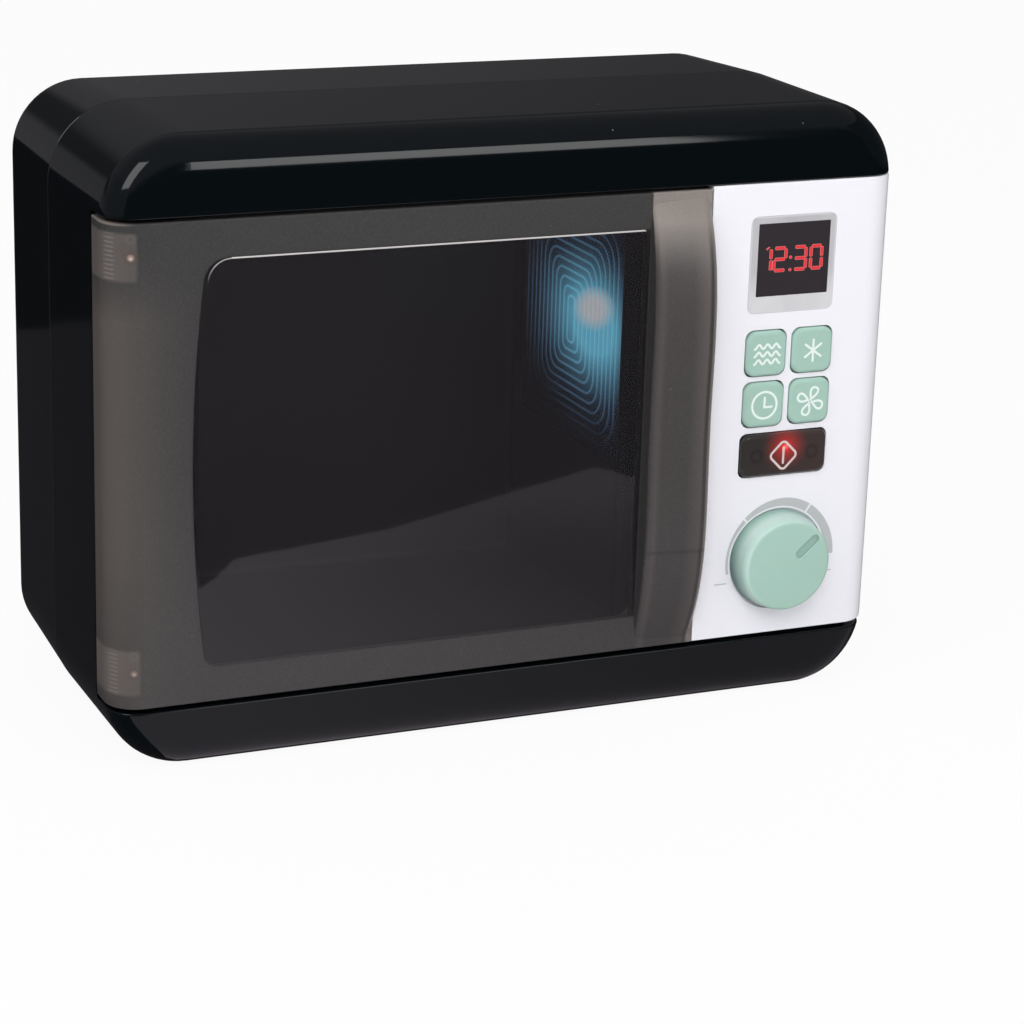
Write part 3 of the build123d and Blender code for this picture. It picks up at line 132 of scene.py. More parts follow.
def length_setting(name, description, millimetres):
    return FloatProperty(
        name=name, description=description, subtype="DISTANCE", unit="LENGTH", min=0,
        default=millimetres * MM,
    )


class OvenColours(bpy.types.PropertyGroup):
    case: colour_setting("Case", "Glossy moulding of the case", 7, 12, 15)
    case_inside: colour_setting("Cavity", "Walls inside the cavity", 18, 17, 19)
    frosted: colour_setting("Frosted smoke", "Door frame and handle", 59, 58, 58)
    frosted_warm: colour_setting("Frosted smoke, warm", "Door frame near its hinges", 93, 86, 82)
    # also the colour of the painted highlights on the handle
    frosted_light: colour_setting("Frosted smoke, lit", "Places where the door is thick", 128, 118, 113)
    # painted highlight on the upper end of the handle
    crown_highlight: colour_setting("Handle crown", "Upper end of the handle", 141, 133, 127)
    # painted highlight along the window's upper edge
    rim: colour_setting("Window rim", "Polished upper edge of the window", 205, 201, 200)
    window: colour_setting("Window", "Polished part of the door", 53, 50, 53)
    fascia: colour_setting("Fascia", "White moulding round the controls", 244, 243, 249)
    mint: colour_setting("Mint", "Push buttons and knob", 168, 200, 187)
    icon: colour_setting("Icons", "Printed symbols on the buttons", 238, 248, 244)
    silver: colour_setting("Silver", "Foil border of the display label", 241, 240, 243)
    display: colour_setting("Display", "Dark field of the display label", 44, 38, 43)
    digits: colour_setting("Digits", "Red digits of the display", 212, 40, 50)
    digit_edge: colour_setting("Digit edge", "Pale line round the digits", 214, 140, 138)
    scale: colour_setting("Scale", "Grey scale printed round the knob", 196, 198, 200)
    start: colour_setting("Start button", "Smoked start button", 55, 52, 50)
    start_icon: colour_setting("Start symbol", "Symbol on the start button", 212, 196, 194)
    start_glow: colour_setting("Start glow", "Lamp seen through the start button", 255, 26, 30)
    lamp_core: colour_setting("Lamp core", "Middle of the light panel", 206, 206, 210)
    lamp_near: colour_setting("Lamp near", "Light panel close to its lamp", 122, 212, 244)
    lamp_far: colour_setting("Lamp far", "Light panel away from its lamp", 68, 98, 126)
    board: colour_setting("Circuit board", "Solder mask", 24, 84, 48)
    copper: colour_setting("Tracks", "Tracks under the solder mask", 50, 122, 72)


class OvenPrint(bpy.types.PropertyGroup):
    height: length_setting("Ink height", "How far a print stands off its surface", 0.05)
    icon_stroke: length_setting("Icon stroke", "Width of the lines of the button symbols", 0.9)
    digit_height: length_setting("Digit height", "Height of the display digits", 9.7)
    digit_stroke: length_setting("Digit stroke", "Width of a digit's bars", 1.1)
    digit_line: length_setting("Digit line", "Width of the pale line round each bar", 0.14)


class OvenStudio(bpy.types.PropertyGroup):
    lens: FloatProperty(name="Lens", description="Focal length on a 36 mm frame", default=108.13, min=10)
    fill: FloatProperty(name="Fill", description="Light from all round", default=0.5, min=0)
    surroundings: FloatProperty(
        name="Surroundings", description="Brightness of the dark studio in reflections", default=0.075, min=0)
    front_power: FloatProperty(name="Front light", description="Power of the soft box in front",
                               subtype="POWER", unit="POWER", default=2.5, min=0)
    left_power: FloatProperty(name="Left light", description="Power of the soft box on the left",
                              subtype="POWER", unit="POWER", default=4.6, min=0)
    key_power: FloatProperty(name="Main light", description="Power of the large soft box on the left",
                             subtype="POWER", unit="POWER", default=11.5, min=0)
    paper: FloatProperty(name="White paper", description="Share of the floor that shows plain white",
                         default=0.94, min=0, max=1)


# ------------------------------------------------------------------ node helpers


class Field:
    """A value that changes over a surface, so that node maths reads as plain arithmetic."""

    def __init__(self, nodes, socket):
        self.nodes = nodes
        self.socket = socket

    def maths(self, operation, *others, clamp=False):
        return self.nodes.maths(operation, self, *others, clamp=clamp)

    def __add__(self, other):
        return self.maths("ADD", other)

    def __sub__(self, other):
        return self.maths("SUBTRACT", other)

    def __rsub__(self, other):
        return self.nodes.maths("SUBTRACT", other, self)

    def __mul__(self, other):
        return self.maths("MULTIPLY", other)

    def __truediv__(self, other):
        return self.maths("DIVIDE", other)

    def __abs__(self):
        return self.maths("ABSOLUTE")

    def above(self, edge, soft):
        """1 above an edge and 0 below it, over a soft step."""
        return ((self - edge) / soft + 0.5).clamped()

    def below(self, edge, soft):
        return ((edge - self) / soft + 0.5).clamped()

    def clamped(self):
        return self.maths("ADD", 0.0, clamp=True)

    def least(self, other):
        return self.maths("MINIMUM", other)

    def most(self, other):
        return self.maths("MAXIMUM", other)


class Nodes:
    """Adds nodes to one tree and feeds them plain values, fields or sockets."""

    def __init__(self, tree):
        self.tree = tree

    def feed(self, socket, value):
        if isinstance(value, Field):
            value = value.socket
        if isinstance(value, bpy.types.NodeSocket):
            self.tree.links.new(value, socket)
        elif socket.type == "RGBA" and len(value) == 3:
            socket.default_value = (*value, 1.0)
        else:
            socket.default_value = value

    def add(self, kind, inputs=None, **settings):
        node = self.tree.nodes.new(kind)
        for key, value in settings.items():
            setattr(node, key, value)
        for key, value in (inputs or {}).items():
            self.feed(node.inputs[key], value)
        return node

    def maths(self, operation, *values, clamp=False):
        node = self.add("ShaderNodeMath", dict(enumerate(values)), operation=operation, use_clamp=clamp)
        return Field(self, node.outputs[0])

    def mix(self, mask, first, second):
        """First colour where the mask is 0, second where it is 1."""
        node = self.add("ShaderNodeMix", {"Factor": mask}, data_type="RGBA")
        colours = [s for s in node.inputs if s.type == "RGBA"]
        self.feed(colours[0], first)
        self.feed(colours[1], second)
        return next(s for s in node.outputs if s.type == "RGBA")

    def place(self):
        """The point on the surface, in the model's own frame, as a vector and three fields."""
        vector = self.add("ShaderNodeTexCoord").outputs["Object"]
        split = self.add("ShaderNodeSeparateXYZ", {"Vector": vector})
        return vector, [Field(self, split.outputs[axis]) for axis in "XYZ"]

    def noise(self, vector, scale, detail=2.0, roughness=0.5):
        inputs = {"Vector": vector, "Scale": scale, "Detail": detail, "Roughness": roughness}
        return Field(self, self.add("ShaderNodeTexNoise", inputs).outputs[0])

    def stretched(self, vector, x, y, z):
        """The vector with each axis scaled."""
        return self.add("ShaderNodeMapping", {"Vector": vector, "Scale": (x, y, z)}).outputs[0]

    def group(self, tree, inputs):
        """One of the shared effects, by its first output."""
        node = self.add("ShaderNodeGroup", node_tree=tree)
        for key, value in inputs.items():
            self.feed(node.inputs[key], value)
        return Field(self, node.outputs[0])

    def bump(self, height, strength, distance):
        inputs = {"Height": height, "Strength": strength, "Distance": distance}
        return self.add("ShaderNodeBump", inputs).outputs["Normal"]


def effect_group(name, inputs, output):
    """Empty shader node group with named inputs and one output: the tree, its helper and its ports."""
    tree = bpy.data.node_groups.new(name, "ShaderNodeTree")
    for label, kind, default in inputs:
        socket = tree.interface.new_socket(name=label, in_out="INPUT", socket_type="NodeSocket" + kind)
        if default is not None:
            socket.default_value = default
    tree.interface.new_socket(name=output, in_out="OUTPUT", socket_type="NodeSocketFloat")
    nodes = Nodes(tree)
    source = nodes.add("NodeGroupInput")
    ports = {label: Field(nodes, source.outputs[label]) for label, _, _ in inputs}
    drain = nodes.add("NodeGroupOutput")
    return tree, nodes, ports, drain


def moulded_relief():
    """Relief of moulded plastic: long soft waves and a fine grain."""
    tree, nodes, port, drain = effect_group(
        "moulded_relief",
        [("Vector", "Vector", None), ("Wave Scale", "Float", 22.0), ("Waves", "Float", 1.0),
         ("Grain Scale", "Float", 1400.0), ("Grain", "Float", 0.2)],
        "Height",
    )
    waves = nodes.noise(port["Vector"], port["Wave Scale"], 1.0)
    grain = nodes.noise(port["Vector"], port["Grain Scale"], 3.0, 0.6)
    nodes.feed(drain.inputs["Height"], waves * port["Waves"] + grain * port["Grain"])
    return tree


def dust_specks():
    """Mask of small scattered specks."""
    tree, nodes, port, drain = effect_group(
        "dust_specks",
        [("Vector", "Vector", None), ("Scale", "Float", 260.0), ("Share", "Float", 0.06),
         ("Size", "Float", 0.16)],
        "Mask",
    )
    cells = nodes.add("ShaderNodeTexVoronoi", {"Vector": port["Vector"], "Scale": port["Scale"]})
    split = nodes.add("ShaderNodeSeparateColor", {"Color": cells.outputs["Color"]})
    chosen = Field(nodes, split.outputs["Red"]).maths("LESS_THAN", port["Share"])
    spot = Field(nodes, cells.outputs["Distance"]).maths("LESS_THAN", port["Size"])
    size = Field(nodes, split.outputs["Green"])
    nodes.feed(drain.inputs["Mask"], chosen * spot * size)
    return tree


def rounded_area():
    """Mask of a rounded rectangle in the plane of two fields."""
    tree, nodes, port, drain = effect_group(
        "rounded_area",
        [("Across", "Float", 0.0), ("Up", "Float", 0.0), ("Middle Across", "Float", 0.0),
         ("Middle Up", "Float", 0.0), ("Half Width", "Float", 0.01), ("Half Height", "Float", 0.01),
         ("Radius", "Float", 0.001), ("Softness", "Float", 0.0005)],
        "Mask",
    )
    radius = port["Radius"]
    right = abs(port["Across"] - port["Middle Across"]) - port["Half Width"] + radius
    above = abs(port["Up"] - port["Middle Up"]) - port["Half Height"] + radius
    corner = nodes.add("ShaderNodeCombineXYZ", {"X": right.most(0.0), "Y": above.most(0.0)})
    length = nodes.add("ShaderNodeVectorMath", {0: corner.outputs[0]}, operation="LENGTH")
    outside = Field(nodes, length.outputs["Value"]) + right.most(above).least(0.0) - radius
    nodes.feed(drain.inputs["Mask"], (0.5 - outside / port["Softness"]).clamped())
    return tree


def round_area():
    """Mask of a disc, or of a ring where it has a width, in the plane of two fields."""
    tree, nodes, port, drain = effect_group(
        "round_area",
        [("Across", "Float", 0.0), ("Up", "Float", 0.0), ("Middle Across", "Float", 0.0),
         ("Middle Up", "Float", 0.0), ("Radius", "Float", 0.003), ("Half Width", "Float", 0.0005),
         ("Softness", "Float", 0.0004)],
        "Mask",
    )
    place = nodes.add("ShaderNodeCombineXYZ", {
        "X": port["Across"] - port["Middle Across"], "Y": port["Up"] - port["Middle Up"]})
    length = nodes.add("ShaderNodeVectorMath", {0: place.outputs[0]}, operation="LENGTH")
    off = abs(Field(nodes, length.outputs["Value"]) - port["Radius"]) - port["Half Width"]
    nodes.feed(drain.inputs["Mask"], (0.5 - off / port["Softness"]).clamped())
    return tree


effects = {}


def effect(make):
    """A shared effect's node group, built the first time that it is asked for."""
    if make.__name__ not in effects:
        effects[make.__name__] = make()
    return effects[make.__name__]


def new_finish(name, **plain):
    """New material with plain values on its shader: the material, its nodes and its shader."""
    material = bpy.data.materials.new(name)
    material.use_nodes = True
    shader = material.node_tree.nodes["Principled BSDF"]
    nodes = Nodes(material.node_tree)
    for key, value in plain.items():
        nodes.feed(shader.inputs[key.replace("_", " ").title().replace("Ior", "IOR")], value)
    return material, nodes, shader


def set_finish(material, *names):
    """Puts one material on CAD nodes or pieces."""
    for name in names:
        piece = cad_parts.get(name) or bpy.data.objects[name]
        piece.data.materials.clear()
        piece.data.materials.append(material)


# ------------------------------------------------------------------ finishes


def area_mask(nodes, x, z, centre, half_size, radius, softness):
    """Mask of a rounded rectangle seen from the front."""
    return nodes.group(effect(rounded_area), {
        "Across": x, "Up": z, "Middle Across": centre[0], "Middle Up": centre[1],
        "Half Width": half_size[0], "Half Height": half_size[1], "Radius": radius, "Softness": softness})


def ring_mask(nodes, x, z, centre, radius, half_width, softness):
    """Mask of a ring seen from the front, or of a disc where its radius is 0."""
    return nodes.group(effect(round_area), {
        "Across": x, "Up": z, "Middle Across": centre[0], "Middle Up": centre[1],
        "Radius": radius, "Half Width": half_width, "Softness": softness})


def specks(nodes, vector, scale, share, size):
    """Mask of dust or of sparkling grains."""
    return nodes.group(effect(dust_specks), {"Vector": vector, "Scale": scale, "Share": share, "Size": size})


def paint(nodes, shader, colour, roughness=None):
    """Feeds a finish's colour and, where it varies, its roughness."""
    nodes.feed(shader.inputs["Base Color"], colour)
    if roughness is not None:
        nodes.feed(shader.inputs["Roughness"], roughness)


def give_relief(nodes, shader, vector, strength, distance, **grain):
    """Bumps a finish with the relief of moulded plastic."""
    inputs = {"Vector": vector, **{key.replace("_", " "): value for key, value in grain.items()}}
    relief = nodes.group(effect(moulded_relief), inputs)
    nodes.feed(shader.inputs["Normal"], nodes.bump(relief, strength, distance))


def glossy_case(colours):
    """Glossy black moulding with a trace of waviness, fine handling marks, dust and a painted highlight where
    the two shells meet.
    """
    material, nodes, shader = new_finish("case_gloss", IOR=1.5)
    vector, (_, y, _) = nodes.place()
    dust = specks(nodes, vector, 230.0, 0.02, 0.09)
    patches = nodes.noise(vector, 9.0, 3.0)
    # painted highlight: a pale line along the seam where the two shells meet
    seam_highlight = y.above(CASE_JOIN - 0.35 * MM, 0.2 * MM) * y.below(CASE_JOIN + 0.3 * MM, 0.2 * MM)
    grey = (0.35, 0.35, 0.36)
    tint = nodes.mix(dust * 0.3, colours.case, grey)
    paint(nodes, shader, nodes.mix(seam_highlight * 0.12, tint, grey), patches * 0.05 + 0.055 + dust * 0.3)
    give_relief(nodes, shader, vector, 0.12, 0.4 * MM, Wave_Scale=14.0, Grain=0.012)
    return material


def dull_black(colours):
    """Fine-textured black moulding inside the cavity."""
    material, nodes, shader = new_finish("cavity_plastic")
    vector, _ = nodes.place()
    patches = nodes.noise(vector, 12.0, 3.0)
    tint = nodes.mix(patches, colours.case_inside, (0.012, 0.012, 0.013))
    paint(nodes, shader, tint, patches * 0.15 + 0.42)
    give_relief(nodes, shader, vector, 0.25, 0.1 * MM, Grain_Scale=1800.0, Grain=1.0)
    return material


def window_masks(nodes, x, y, z):
    """The door's polished window, its inner face, and a painted highlight along its upper edge and corner."""
    half_height = (WINDOW_HIGH - WINDOW_LOW) / 2
    rise = (z - WINDOW_MIDDLE[1]) / half_height
    bowed = x + (1.0 - rise * rise) * WINDOW_BOW * x.below(WINDOW_MIDDLE[0], 40 * MM)
    half_width = (WINDOW_RIGHT - WINDOW_LEFT) / 2
    outline = area_mask(nodes, bowed, z, WINDOW_MIDDLE, (half_width, half_height), 5 * MM, 0.3 * MM)
    raised = y.below(FRAME_FACE - 0.25 * MM, 0.1 * MM) * x.below(HANDLE_LEFT - 1 * MM, 0.1 * MM)
    inside = y.above(FRAME_FACE + 1 * MM, 0.2 * MM) * outline

    # painted highlight: a pale line along the raised window's upper edge and round its upper left corner
    turn = (WINDOW_LEFT + 2 * MM + WINDOW_CORNER, WINDOW_HIGH - WINDOW_CORNER)
    corner = ring_mask(nodes, x, z, turn, WINDOW_CORNER - 0.35 * MM, 0.25 * MM, 0.25 * MM)
    straight = z.above(WINDOW_HIGH - 0.55 * MM, 0.3 * MM) * x.above(turn[0], 0.2 * MM)
    corner = corner * x.below(turn[0], 0.2 * MM) * z.above(turn[1] + 3 * MM, 7 * MM) * 0.7
    rim = raised * (straight + corner).clamped()
    return raised.most(inside) * (1.0 - rim), inside, rim


def hinge_marks(nodes, x, z, level):
    """Where a hinge block shows through the door: its body, its comb of ribs, and the boss on its pin."""
    centre = (HINGE_BLOCK_EDGE - 20 * MM, level)
    block = area_mask(nodes, x, z, centre, (20 * MM, HINGE_BLOCK / 2), 1.0 * MM, 1.2 * MM)
    stripes = ((z - level) * (2 * pi / HINGE_RIB_PITCH)).maths("SINE").above(0.45, 0.5)
    dashes = block * stripes * x.below(-152.9 * MM, 0.8 * MM) * x.above(-155.2 * MM, 0.5 * MM)
    upper = ring_mask(nodes, x, z, (HINGE_BOSS, level + 6.6 * MM), 1.2 * MM, 0.4 * MM, 1.0 * MM)
    comb = block * x.below(-150.5 * MM, 6 * MM)
    return block * 0.24 + comb * 0.12 + dashes * 0.4 + upper * 0.14


def handle_tone(x, z):
    """How pale the handle is across its width: a paler left ridge, painted highlights on its upper face and
    on a broad right edge, which stop at a groove, and a painted bright line at its right edge.
    """
    across = x - HANDLE_LEFT
    height = (z / (205 * MM)).clamped()
    ridge = (1.0 - abs(across - 2.6 * MM) / (2.2 * MM)).clamped() * 0.13
    face = (height - 0.25).clamped() * 0.14
    swell_highlight = ((across - 14.5 * MM) / (5.5 * MM)).clamped() * (height * height * 0.18 + 0.14)
    groove = across.above(20.6 * MM, 0.9 * MM)
    line = across.above(22.2 * MM, 0.6 * MM)
    return (ridge + face + swell_highlight) * (1.0 - groove) + line * 0.75


def thick_and_highlit_places(nodes, x, z, on_handle):
    """Where the door is thicker and so paler: its upper left edge, hinge blocks and gate marks; and the
    handle with its painted highlights.
    """
    thick_and_highlit = z.above(DOOR_TOP - 0.8 * MM, 0.4 * MM) * x.below(-150 * MM, 8 * MM) * 0.7
    for level in HINGE_LEVELS:
        thick_and_highlit = thick_and_highlit.most(hinge_marks(nodes, x, z, level))
    for across, up, radius in GATE_MARKS:
        mark = ring_mask(nodes, x, z, (across * MM, up * MM), radius * MM, 0.2 * MM, 0.6 * MM)
        thick_and_highlit = thick_and_highlit.most(mark * 0.05)
    # the handle's painted highlights
    return thick_and_highlit.most(on_handle * handle_tone(x, z)).clamped()


def frosted_tint(nodes, colours, vector, x, y, z):
    """Colour of the frosted frame and handle, with painted highlights on the handle and painted shade beside
    it, and the mask of the handle.
    """
    on_handle = x.above(HANDLE_LEFT + 0.1 * MM, 0.2 * MM) * y.below(FRAME_FACE + 2 * MM, 1 * MM)
    # paler where the door is thicker, and the painted highlights on the handle
    thick_and_highlit = thick_and_highlit_places(nodes, x, z, on_handle)

    # warmer near the hinges, less so at its ends, and a little towards the foot
    left = ((-116 * MM - x) / (40 * MM)).clamped()
    left = left * (1.0 - ((z - 170 * MM) / (30 * MM)).clamped())
    left = left * (((z - 25 * MM) / (60 * MM)).clamped() * 0.4 + 0.6)
    low = ((150 * MM - z) / (150 * MM)).clamped()
    tint = nodes.mix((left * left * 0.9 + low * 0.06).clamped(), colours.frosted, colours.frosted_warm)

    grain = nodes.noise(vector, 1500.0, 1.0).above(0.56, 0.2)
    cloud = nodes.noise(vector, 18.0, 2.0)
    tint = nodes.mix(on_handle * 0.8, tint, seen(64, 61, 61))
    tint = nodes.mix(cloud * 0.2, tint, seen(52, 50, 50))
    tint = nodes.mix(grain * 0.1, tint, seen(110, 108, 107))
    tint = nodes.mix(thick_and_highlit, tint, colours.frosted_light)

    # a painted highlight on the handle's crown, and the line of its rib
    crown_highlight = ((z - 174 * MM) / (20 * MM)).clamped()
    speckle = nodes.noise(vector, 2600.0, 1.0).above(0.6, 0.3) * 0.3
    tint = nodes.mix(on_handle * crown_highlight * crown_highlight * (speckle + 0.85).clamped(), tint, colours.crown_highlight)
    rib = z.above(HANDLE_RIB - 0.7 * MM, 0.6 * MM) * z.below(HANDLE_RIB + 0.7 * MM, 0.6 * MM)
    tint = nodes.mix(on_handle * rib * 0.3, tint, seen(34, 32, 32))

    # painted shade on the handle's left wall, and a painted shadow on the rough strip beside it
    shaded_wall = x.above(HANDLE_LEFT - 0.3 * MM, 0.2 * MM) * y.below(FRAME_FACE + 1 * MM, 1 * MM)
    tint = nodes.mix(shaded_wall * (1.0 - on_handle) * 0.6, tint, seen(62, 60, 61))
    strip_shadow = x.above(WINDOW_RIGHT - 0.3 * MM, 0.3 * MM) * x.below(HANDLE_LEFT - 0.4 * MM, 0.2 * MM)
    tint = nodes.mix(strip_shadow * beside_window(z) * 0.85, tint, seen(20, 19, 20))

    # the boss under each hinge block: a bright spot in a darker ring
    for level in HINGE_LEVELS:
        share = 1.0 if level > WINDOW_MIDDLE[1] else 0.55
        for radius, drop, weight, tone in HINGE_SPOTS:
            spot = ring_mask(nodes, x, z, (HINGE_BOSS, level - drop), 0.0, radius, 0.9 * MM)
            tint = nodes.mix(spot * (weight * share), tint, seen(*tone))
    return tint, on_handle


def beside_window(z):
    """The height of the window."""
    return z.below(WINDOW_HIGH, 0.6 * MM) * z.above(WINDOW_LOW, 0.6 * MM)


def smoked_door(colours):
    """Smoked plastic: frosted frame and handle, polished see-through window."""
    material, nodes, shader = new_finish("smoked_door", IOR=1.5, Coat_Roughness=0.02, Coat_IOR=1.5)
    vector, (x, y, z) = nodes.place()
    window, inside, rim = window_masks(nodes, x, y, z)
    frosted = 1.0 - window
    tint, on_handle = frosted_tint(nodes, colours, vector, x, y, z)
    dust = specks(nodes, vector, 190.0, 0.05, 0.08)
    sparkle = specks(nodes, vector, 1900.0, 0.3, 0.3)
    rough = x.above(HANDLE_LEFT - 3.2 * MM, 2.4 * MM) * x.below(HANDLE_LEFT + 0.2 * MM, 0.4 * MM)
    tint = nodes.mix(window, tint, colours.window)
    # the painted highlight along the window's upper edge
    tint = nodes.mix(rim, tint, colours.rim)
    tint = nodes.mix(dust * 0.4, tint, seen(140, 140, 140))
    tint = nodes.mix(sparkle * rough * beside_window(z) * 0.5, tint, seen(170, 167, 165))
    paint(nodes, shader, tint, frosted * (0.42 - on_handle * 0.1) + window * 0.03 + dust * 0.2)
    nodes.feed(shader.inputs["Coat Weight"], window)
    nodes.feed(shader.inputs["Alpha"], 1.0 - window * (inside * 0.31 + 0.64))
    give_relief(nodes, shader, vector, 0.25, 0.12 * MM, Waves=0.3, Grain_Scale=1500.0, Grain=frosted * 0.5)
    return material


def white_fascia(colours):
    """Glossy white moulding, a touch cooler in random patches."""
    material, nodes, shader = new_finish("fascia_gloss", IOR=1.48)
    vector, _ = nodes.place()
    patches = nodes.noise(vector, 10.0, 2.0)
    paint(nodes, shader, nodes.mix(patches * 0.35, colours.fascia, (0.80, 0.80, 0.85)), patches * 0.06 + 0.16)
    give_relief(nodes, shader, vector, 0.1, 0.3 * MM, Grain=0.02)
    return material


def edge_shade(nodes, x, z, button):
    """The rounded edge of a push button, and how far towards its upper left each point lies, for its painted
    highlight and shade.
    """
    low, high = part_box(button)
    centre = middle(button)

    def grown_by(amount, radius, softness):
        half_size = ((high.x - low.x) / 2 + amount, (high.z - low.z) / 2 + amount)
        return area_mask(nodes, x, z, centre, half_size, radius, softness)

    whole = grown_by(1 * MM, 3 * MM, 0.2 * MM)
    flat = grown_by(-1.3 * MM, 2 * MM, 0.9 * MM)
    # 1 towards the upper left, where the highlight is painted, 0 where the shade is
    pale = ((z - centre[1] - (x - centre[0])) / (10 * MM) + 0.5).clamped()
    return whole * (1.0 - flat), pale


def knob_tint(nodes, tint, x, y, z):
    """Paints light and shade on the knob: shade low on its left side and in its pointer recess, highlights on
    its upper rim, its rounded edge and the upper left of its front.
    """
    front = KNOB_LOW.y
    around = ring_mask(nodes, x, z, KNOB_MIDDLE, 0.0, 30 * MM, 1 * MM)
    edge = ring_mask(nodes, x, z, KNOB_MIDDLE, (KNOB_HIGH.x - KNOB_LOW.x) / 2 - 1 * MM, 2.2 * MM, 1 * MM)
    lower = ((KNOB_HIGH.z + KNOB_LOW.x - x - z) / (24 * MM)).clamped()
    toward_light = ((z - x - (KNOB_LOW.z - KNOB_LOW.x)) / (30 * MM) + 0.5).clamped()
    # painted shade on the lower left of the knob's side
    shaded_wall = y.above(front + 5.5 * MM, 5 * MM) * around
    tint = nodes.mix(shaded_wall * lower * 0.9, tint, seen(112, 140, 136))
    # painted highlight on the upper rim
    rim = y.above(front + 1.6 * MM, 2 * MM) * y.below(front + 7 * MM, 4 * MM) * around
    tint = nodes.mix(rim * (1.0 - lower) * 0.6, tint, seen(222, 240, 234))
    # painted shade inside the pointer slot
    slot_shade = y.above(front + 0.25 * MM, 0.3 * MM) * y.below(front + 4 * MM, 1 * MM) * around * (1.0 - edge)
    tint = nodes.mix(slot_shade * 0.5, tint, seen(138, 170, 157))
    # painted highlight on the rounded edge, towards the upper left
    shoulder_highlight = y.above(front + 0.15 * MM, 0.4 * MM) * y.below(front + 2.4 * MM, 1.2 * MM) * edge
    tint = nodes.mix(shoulder_highlight * toward_light * 0.55, tint, seen(214, 238, 229))
    # the front painted lighter towards the upper left
    face = around * y.below(front + 0.3 * MM, 0.2 * MM)
    return nodes.mix(face * toward_light * 0.25, tint, seen(186, 216, 204))


def mint_plastic(colours):
    """Satin mint moulding with a faint grain, and painted highlight and shade round its edges."""
    material, nodes, shader = new_finish("mint_plastic", IOR=1.48, Subsurface_Weight=0.08)
    vector, (x, y, z) = nodes.place()
    patches = nodes.noise(vector, 35.0, 3.0)
    tint = nodes.mix(patches * 0.4, colours.mint, seen(160, 194, 181))
    tint = knob_tint(nodes, tint, x, y, z)
    for button in ICONS:
        edge, pale = edge_shade(nodes, x, z, button)
        # painted highlight on the upper left of each button's rounded edge, painted shade on its lower right
        tint = nodes.mix(edge * pale * 0.45, tint, seen(204, 230, 219))
        tint = nodes.mix(edge * (1.0 - pale) * 0.55, tint, seen(132, 164, 152))
    paint(nodes, shader, tint, patches * 0.08 + 0.27)
    give_relief(nodes, shader, vector, 0.12, 0.08 * MM, Grain_Scale=2200.0, Grain=0.35)
    return material


def ink(name, colour, other, glow=0.0):
    """Printed ink: slightly uneven colour over a fine screen grain, with a painted glow where one is given.
    """
    material, nodes, shader = new_finish(name, Emission_Strength=glow)
    vector, _ = nodes.place()
    grain = nodes.noise(vector, 1800.0, 2.0)
    tint = nodes.mix(grain * 0.5, colour, other)
    paint(nodes, shader, tint, grain * 0.15 + 0.32)
    if glow:
        nodes.feed(shader.inputs["Emission Color"], tint)
    return material


def brushed_foil(colours):
    """Silver foil of the display label: a painted white highlight round its rim, and painted reflection,
    brightest at its foot and darker above.
    """
    material, nodes, shader = new_finish("brushed_foil", Metallic=0.25)
    vector, (x, _, z) = nodes.place()
    streaks = nodes.noise(nodes.stretched(vector, 30.0, 30.0, 3000.0), 1.0, 3.0, 0.7)
    sheen = nodes.noise(nodes.stretched(vector, 75.0, 1.0, 4.0), 1.0, 1.0).above(0.5, 0.45)
    up = ((z - LABEL_LOW.z - 6 * MM) / (10 * MM)).clamped()
    edge = x.below(LABEL_LOW.x + 2.6 * MM, 2 * MM) * up
    inset = (x - LABEL_LOW.x).least(LABEL_HIGH.x - x).least(z - LABEL_LOW.z).least(LABEL_HIGH.z - z)
    # painted highlight: a white line round the rim
    rim = inset.below(0.55 * MM, 0.5 * MM)
    # painted reflection: darker above the foot, at the left edge and in soft bands; the streaks are the
    # brushing
    brushing_and_reflection = (up * 0.32 + edge * 0.02 + sheen * 0.14 + streaks * 0.08).clamped()
    tint = nodes.mix(brushing_and_reflection, colours.silver, seen(150, 146, 150))
    paint(nodes, shader, nodes.mix(rim * 0.7, tint, seen(238, 238, 244)), streaks * 0.2 + 0.3)
    nodes.feed(shader.inputs["Normal"], nodes.bump(streaks, 0.1, 0.05 * MM))
    return material


def smoked_start(colours):
    """Dark smoked button: the lamp behind it glows red round the top of its symbol."""
    material, nodes, shader = new_finish("smoked_start", IOR=1.5, Emission_Strength=1.0)
    vector, (x, y, z) = nodes.place()
    away = nodes.add("ShaderNodeCombineXYZ", {"X": x - START_LAMP[0], "Y": z - START_LAMP[1]}).outputs[0]
    length = nodes.add("ShaderNodeVectorMath", {0: away}, operation="LENGTH")
    distance = Field(nodes, length.outputs["Value"])
    hot, near, wide = ((1.0 - distance / (reach * MM)).clamped() for reach in (1.5, 3.4, 11.0))
    light = near * near * 0.68 + wide * wide * 0.58
    front = y.below(FASCIA_FRONT + 0.5 * MM, 0.5 * MM)
    glow = nodes.mix(hot, colours.start_glow, seen(255, 120, 110))
    nodes.feed(shader.inputs["Emission Color"], nodes.mix(light * front, (0.0, 0.0, 0.0), glow))

    centre = middle("start_button")
    posts = [ring_mask(nodes, x, z, (centre[0] + side * START_POST, centre[1]), 2.2 * MM, 0.5 * MM, 1.4 * MM)
             for side in (-1, 1)]
    grain = nodes.noise(vector, 60.0, 3.0)
    warm = x.above(centre[0], 30 * MM)
    tint = nodes.mix(warm * 0.7, colours.start, seen(72, 58, 56))
    tint = nodes.mix(posts[0].most(posts[1]) * 0.4 + grain * 0.2, tint, seen(28, 26, 27))
    paint(nodes, shader, tint, grain * 0.06 + 0.1)
    give_relief(nodes, shader, vector, 0.1, 0.1 * MM, Grain=0.05)
    return material


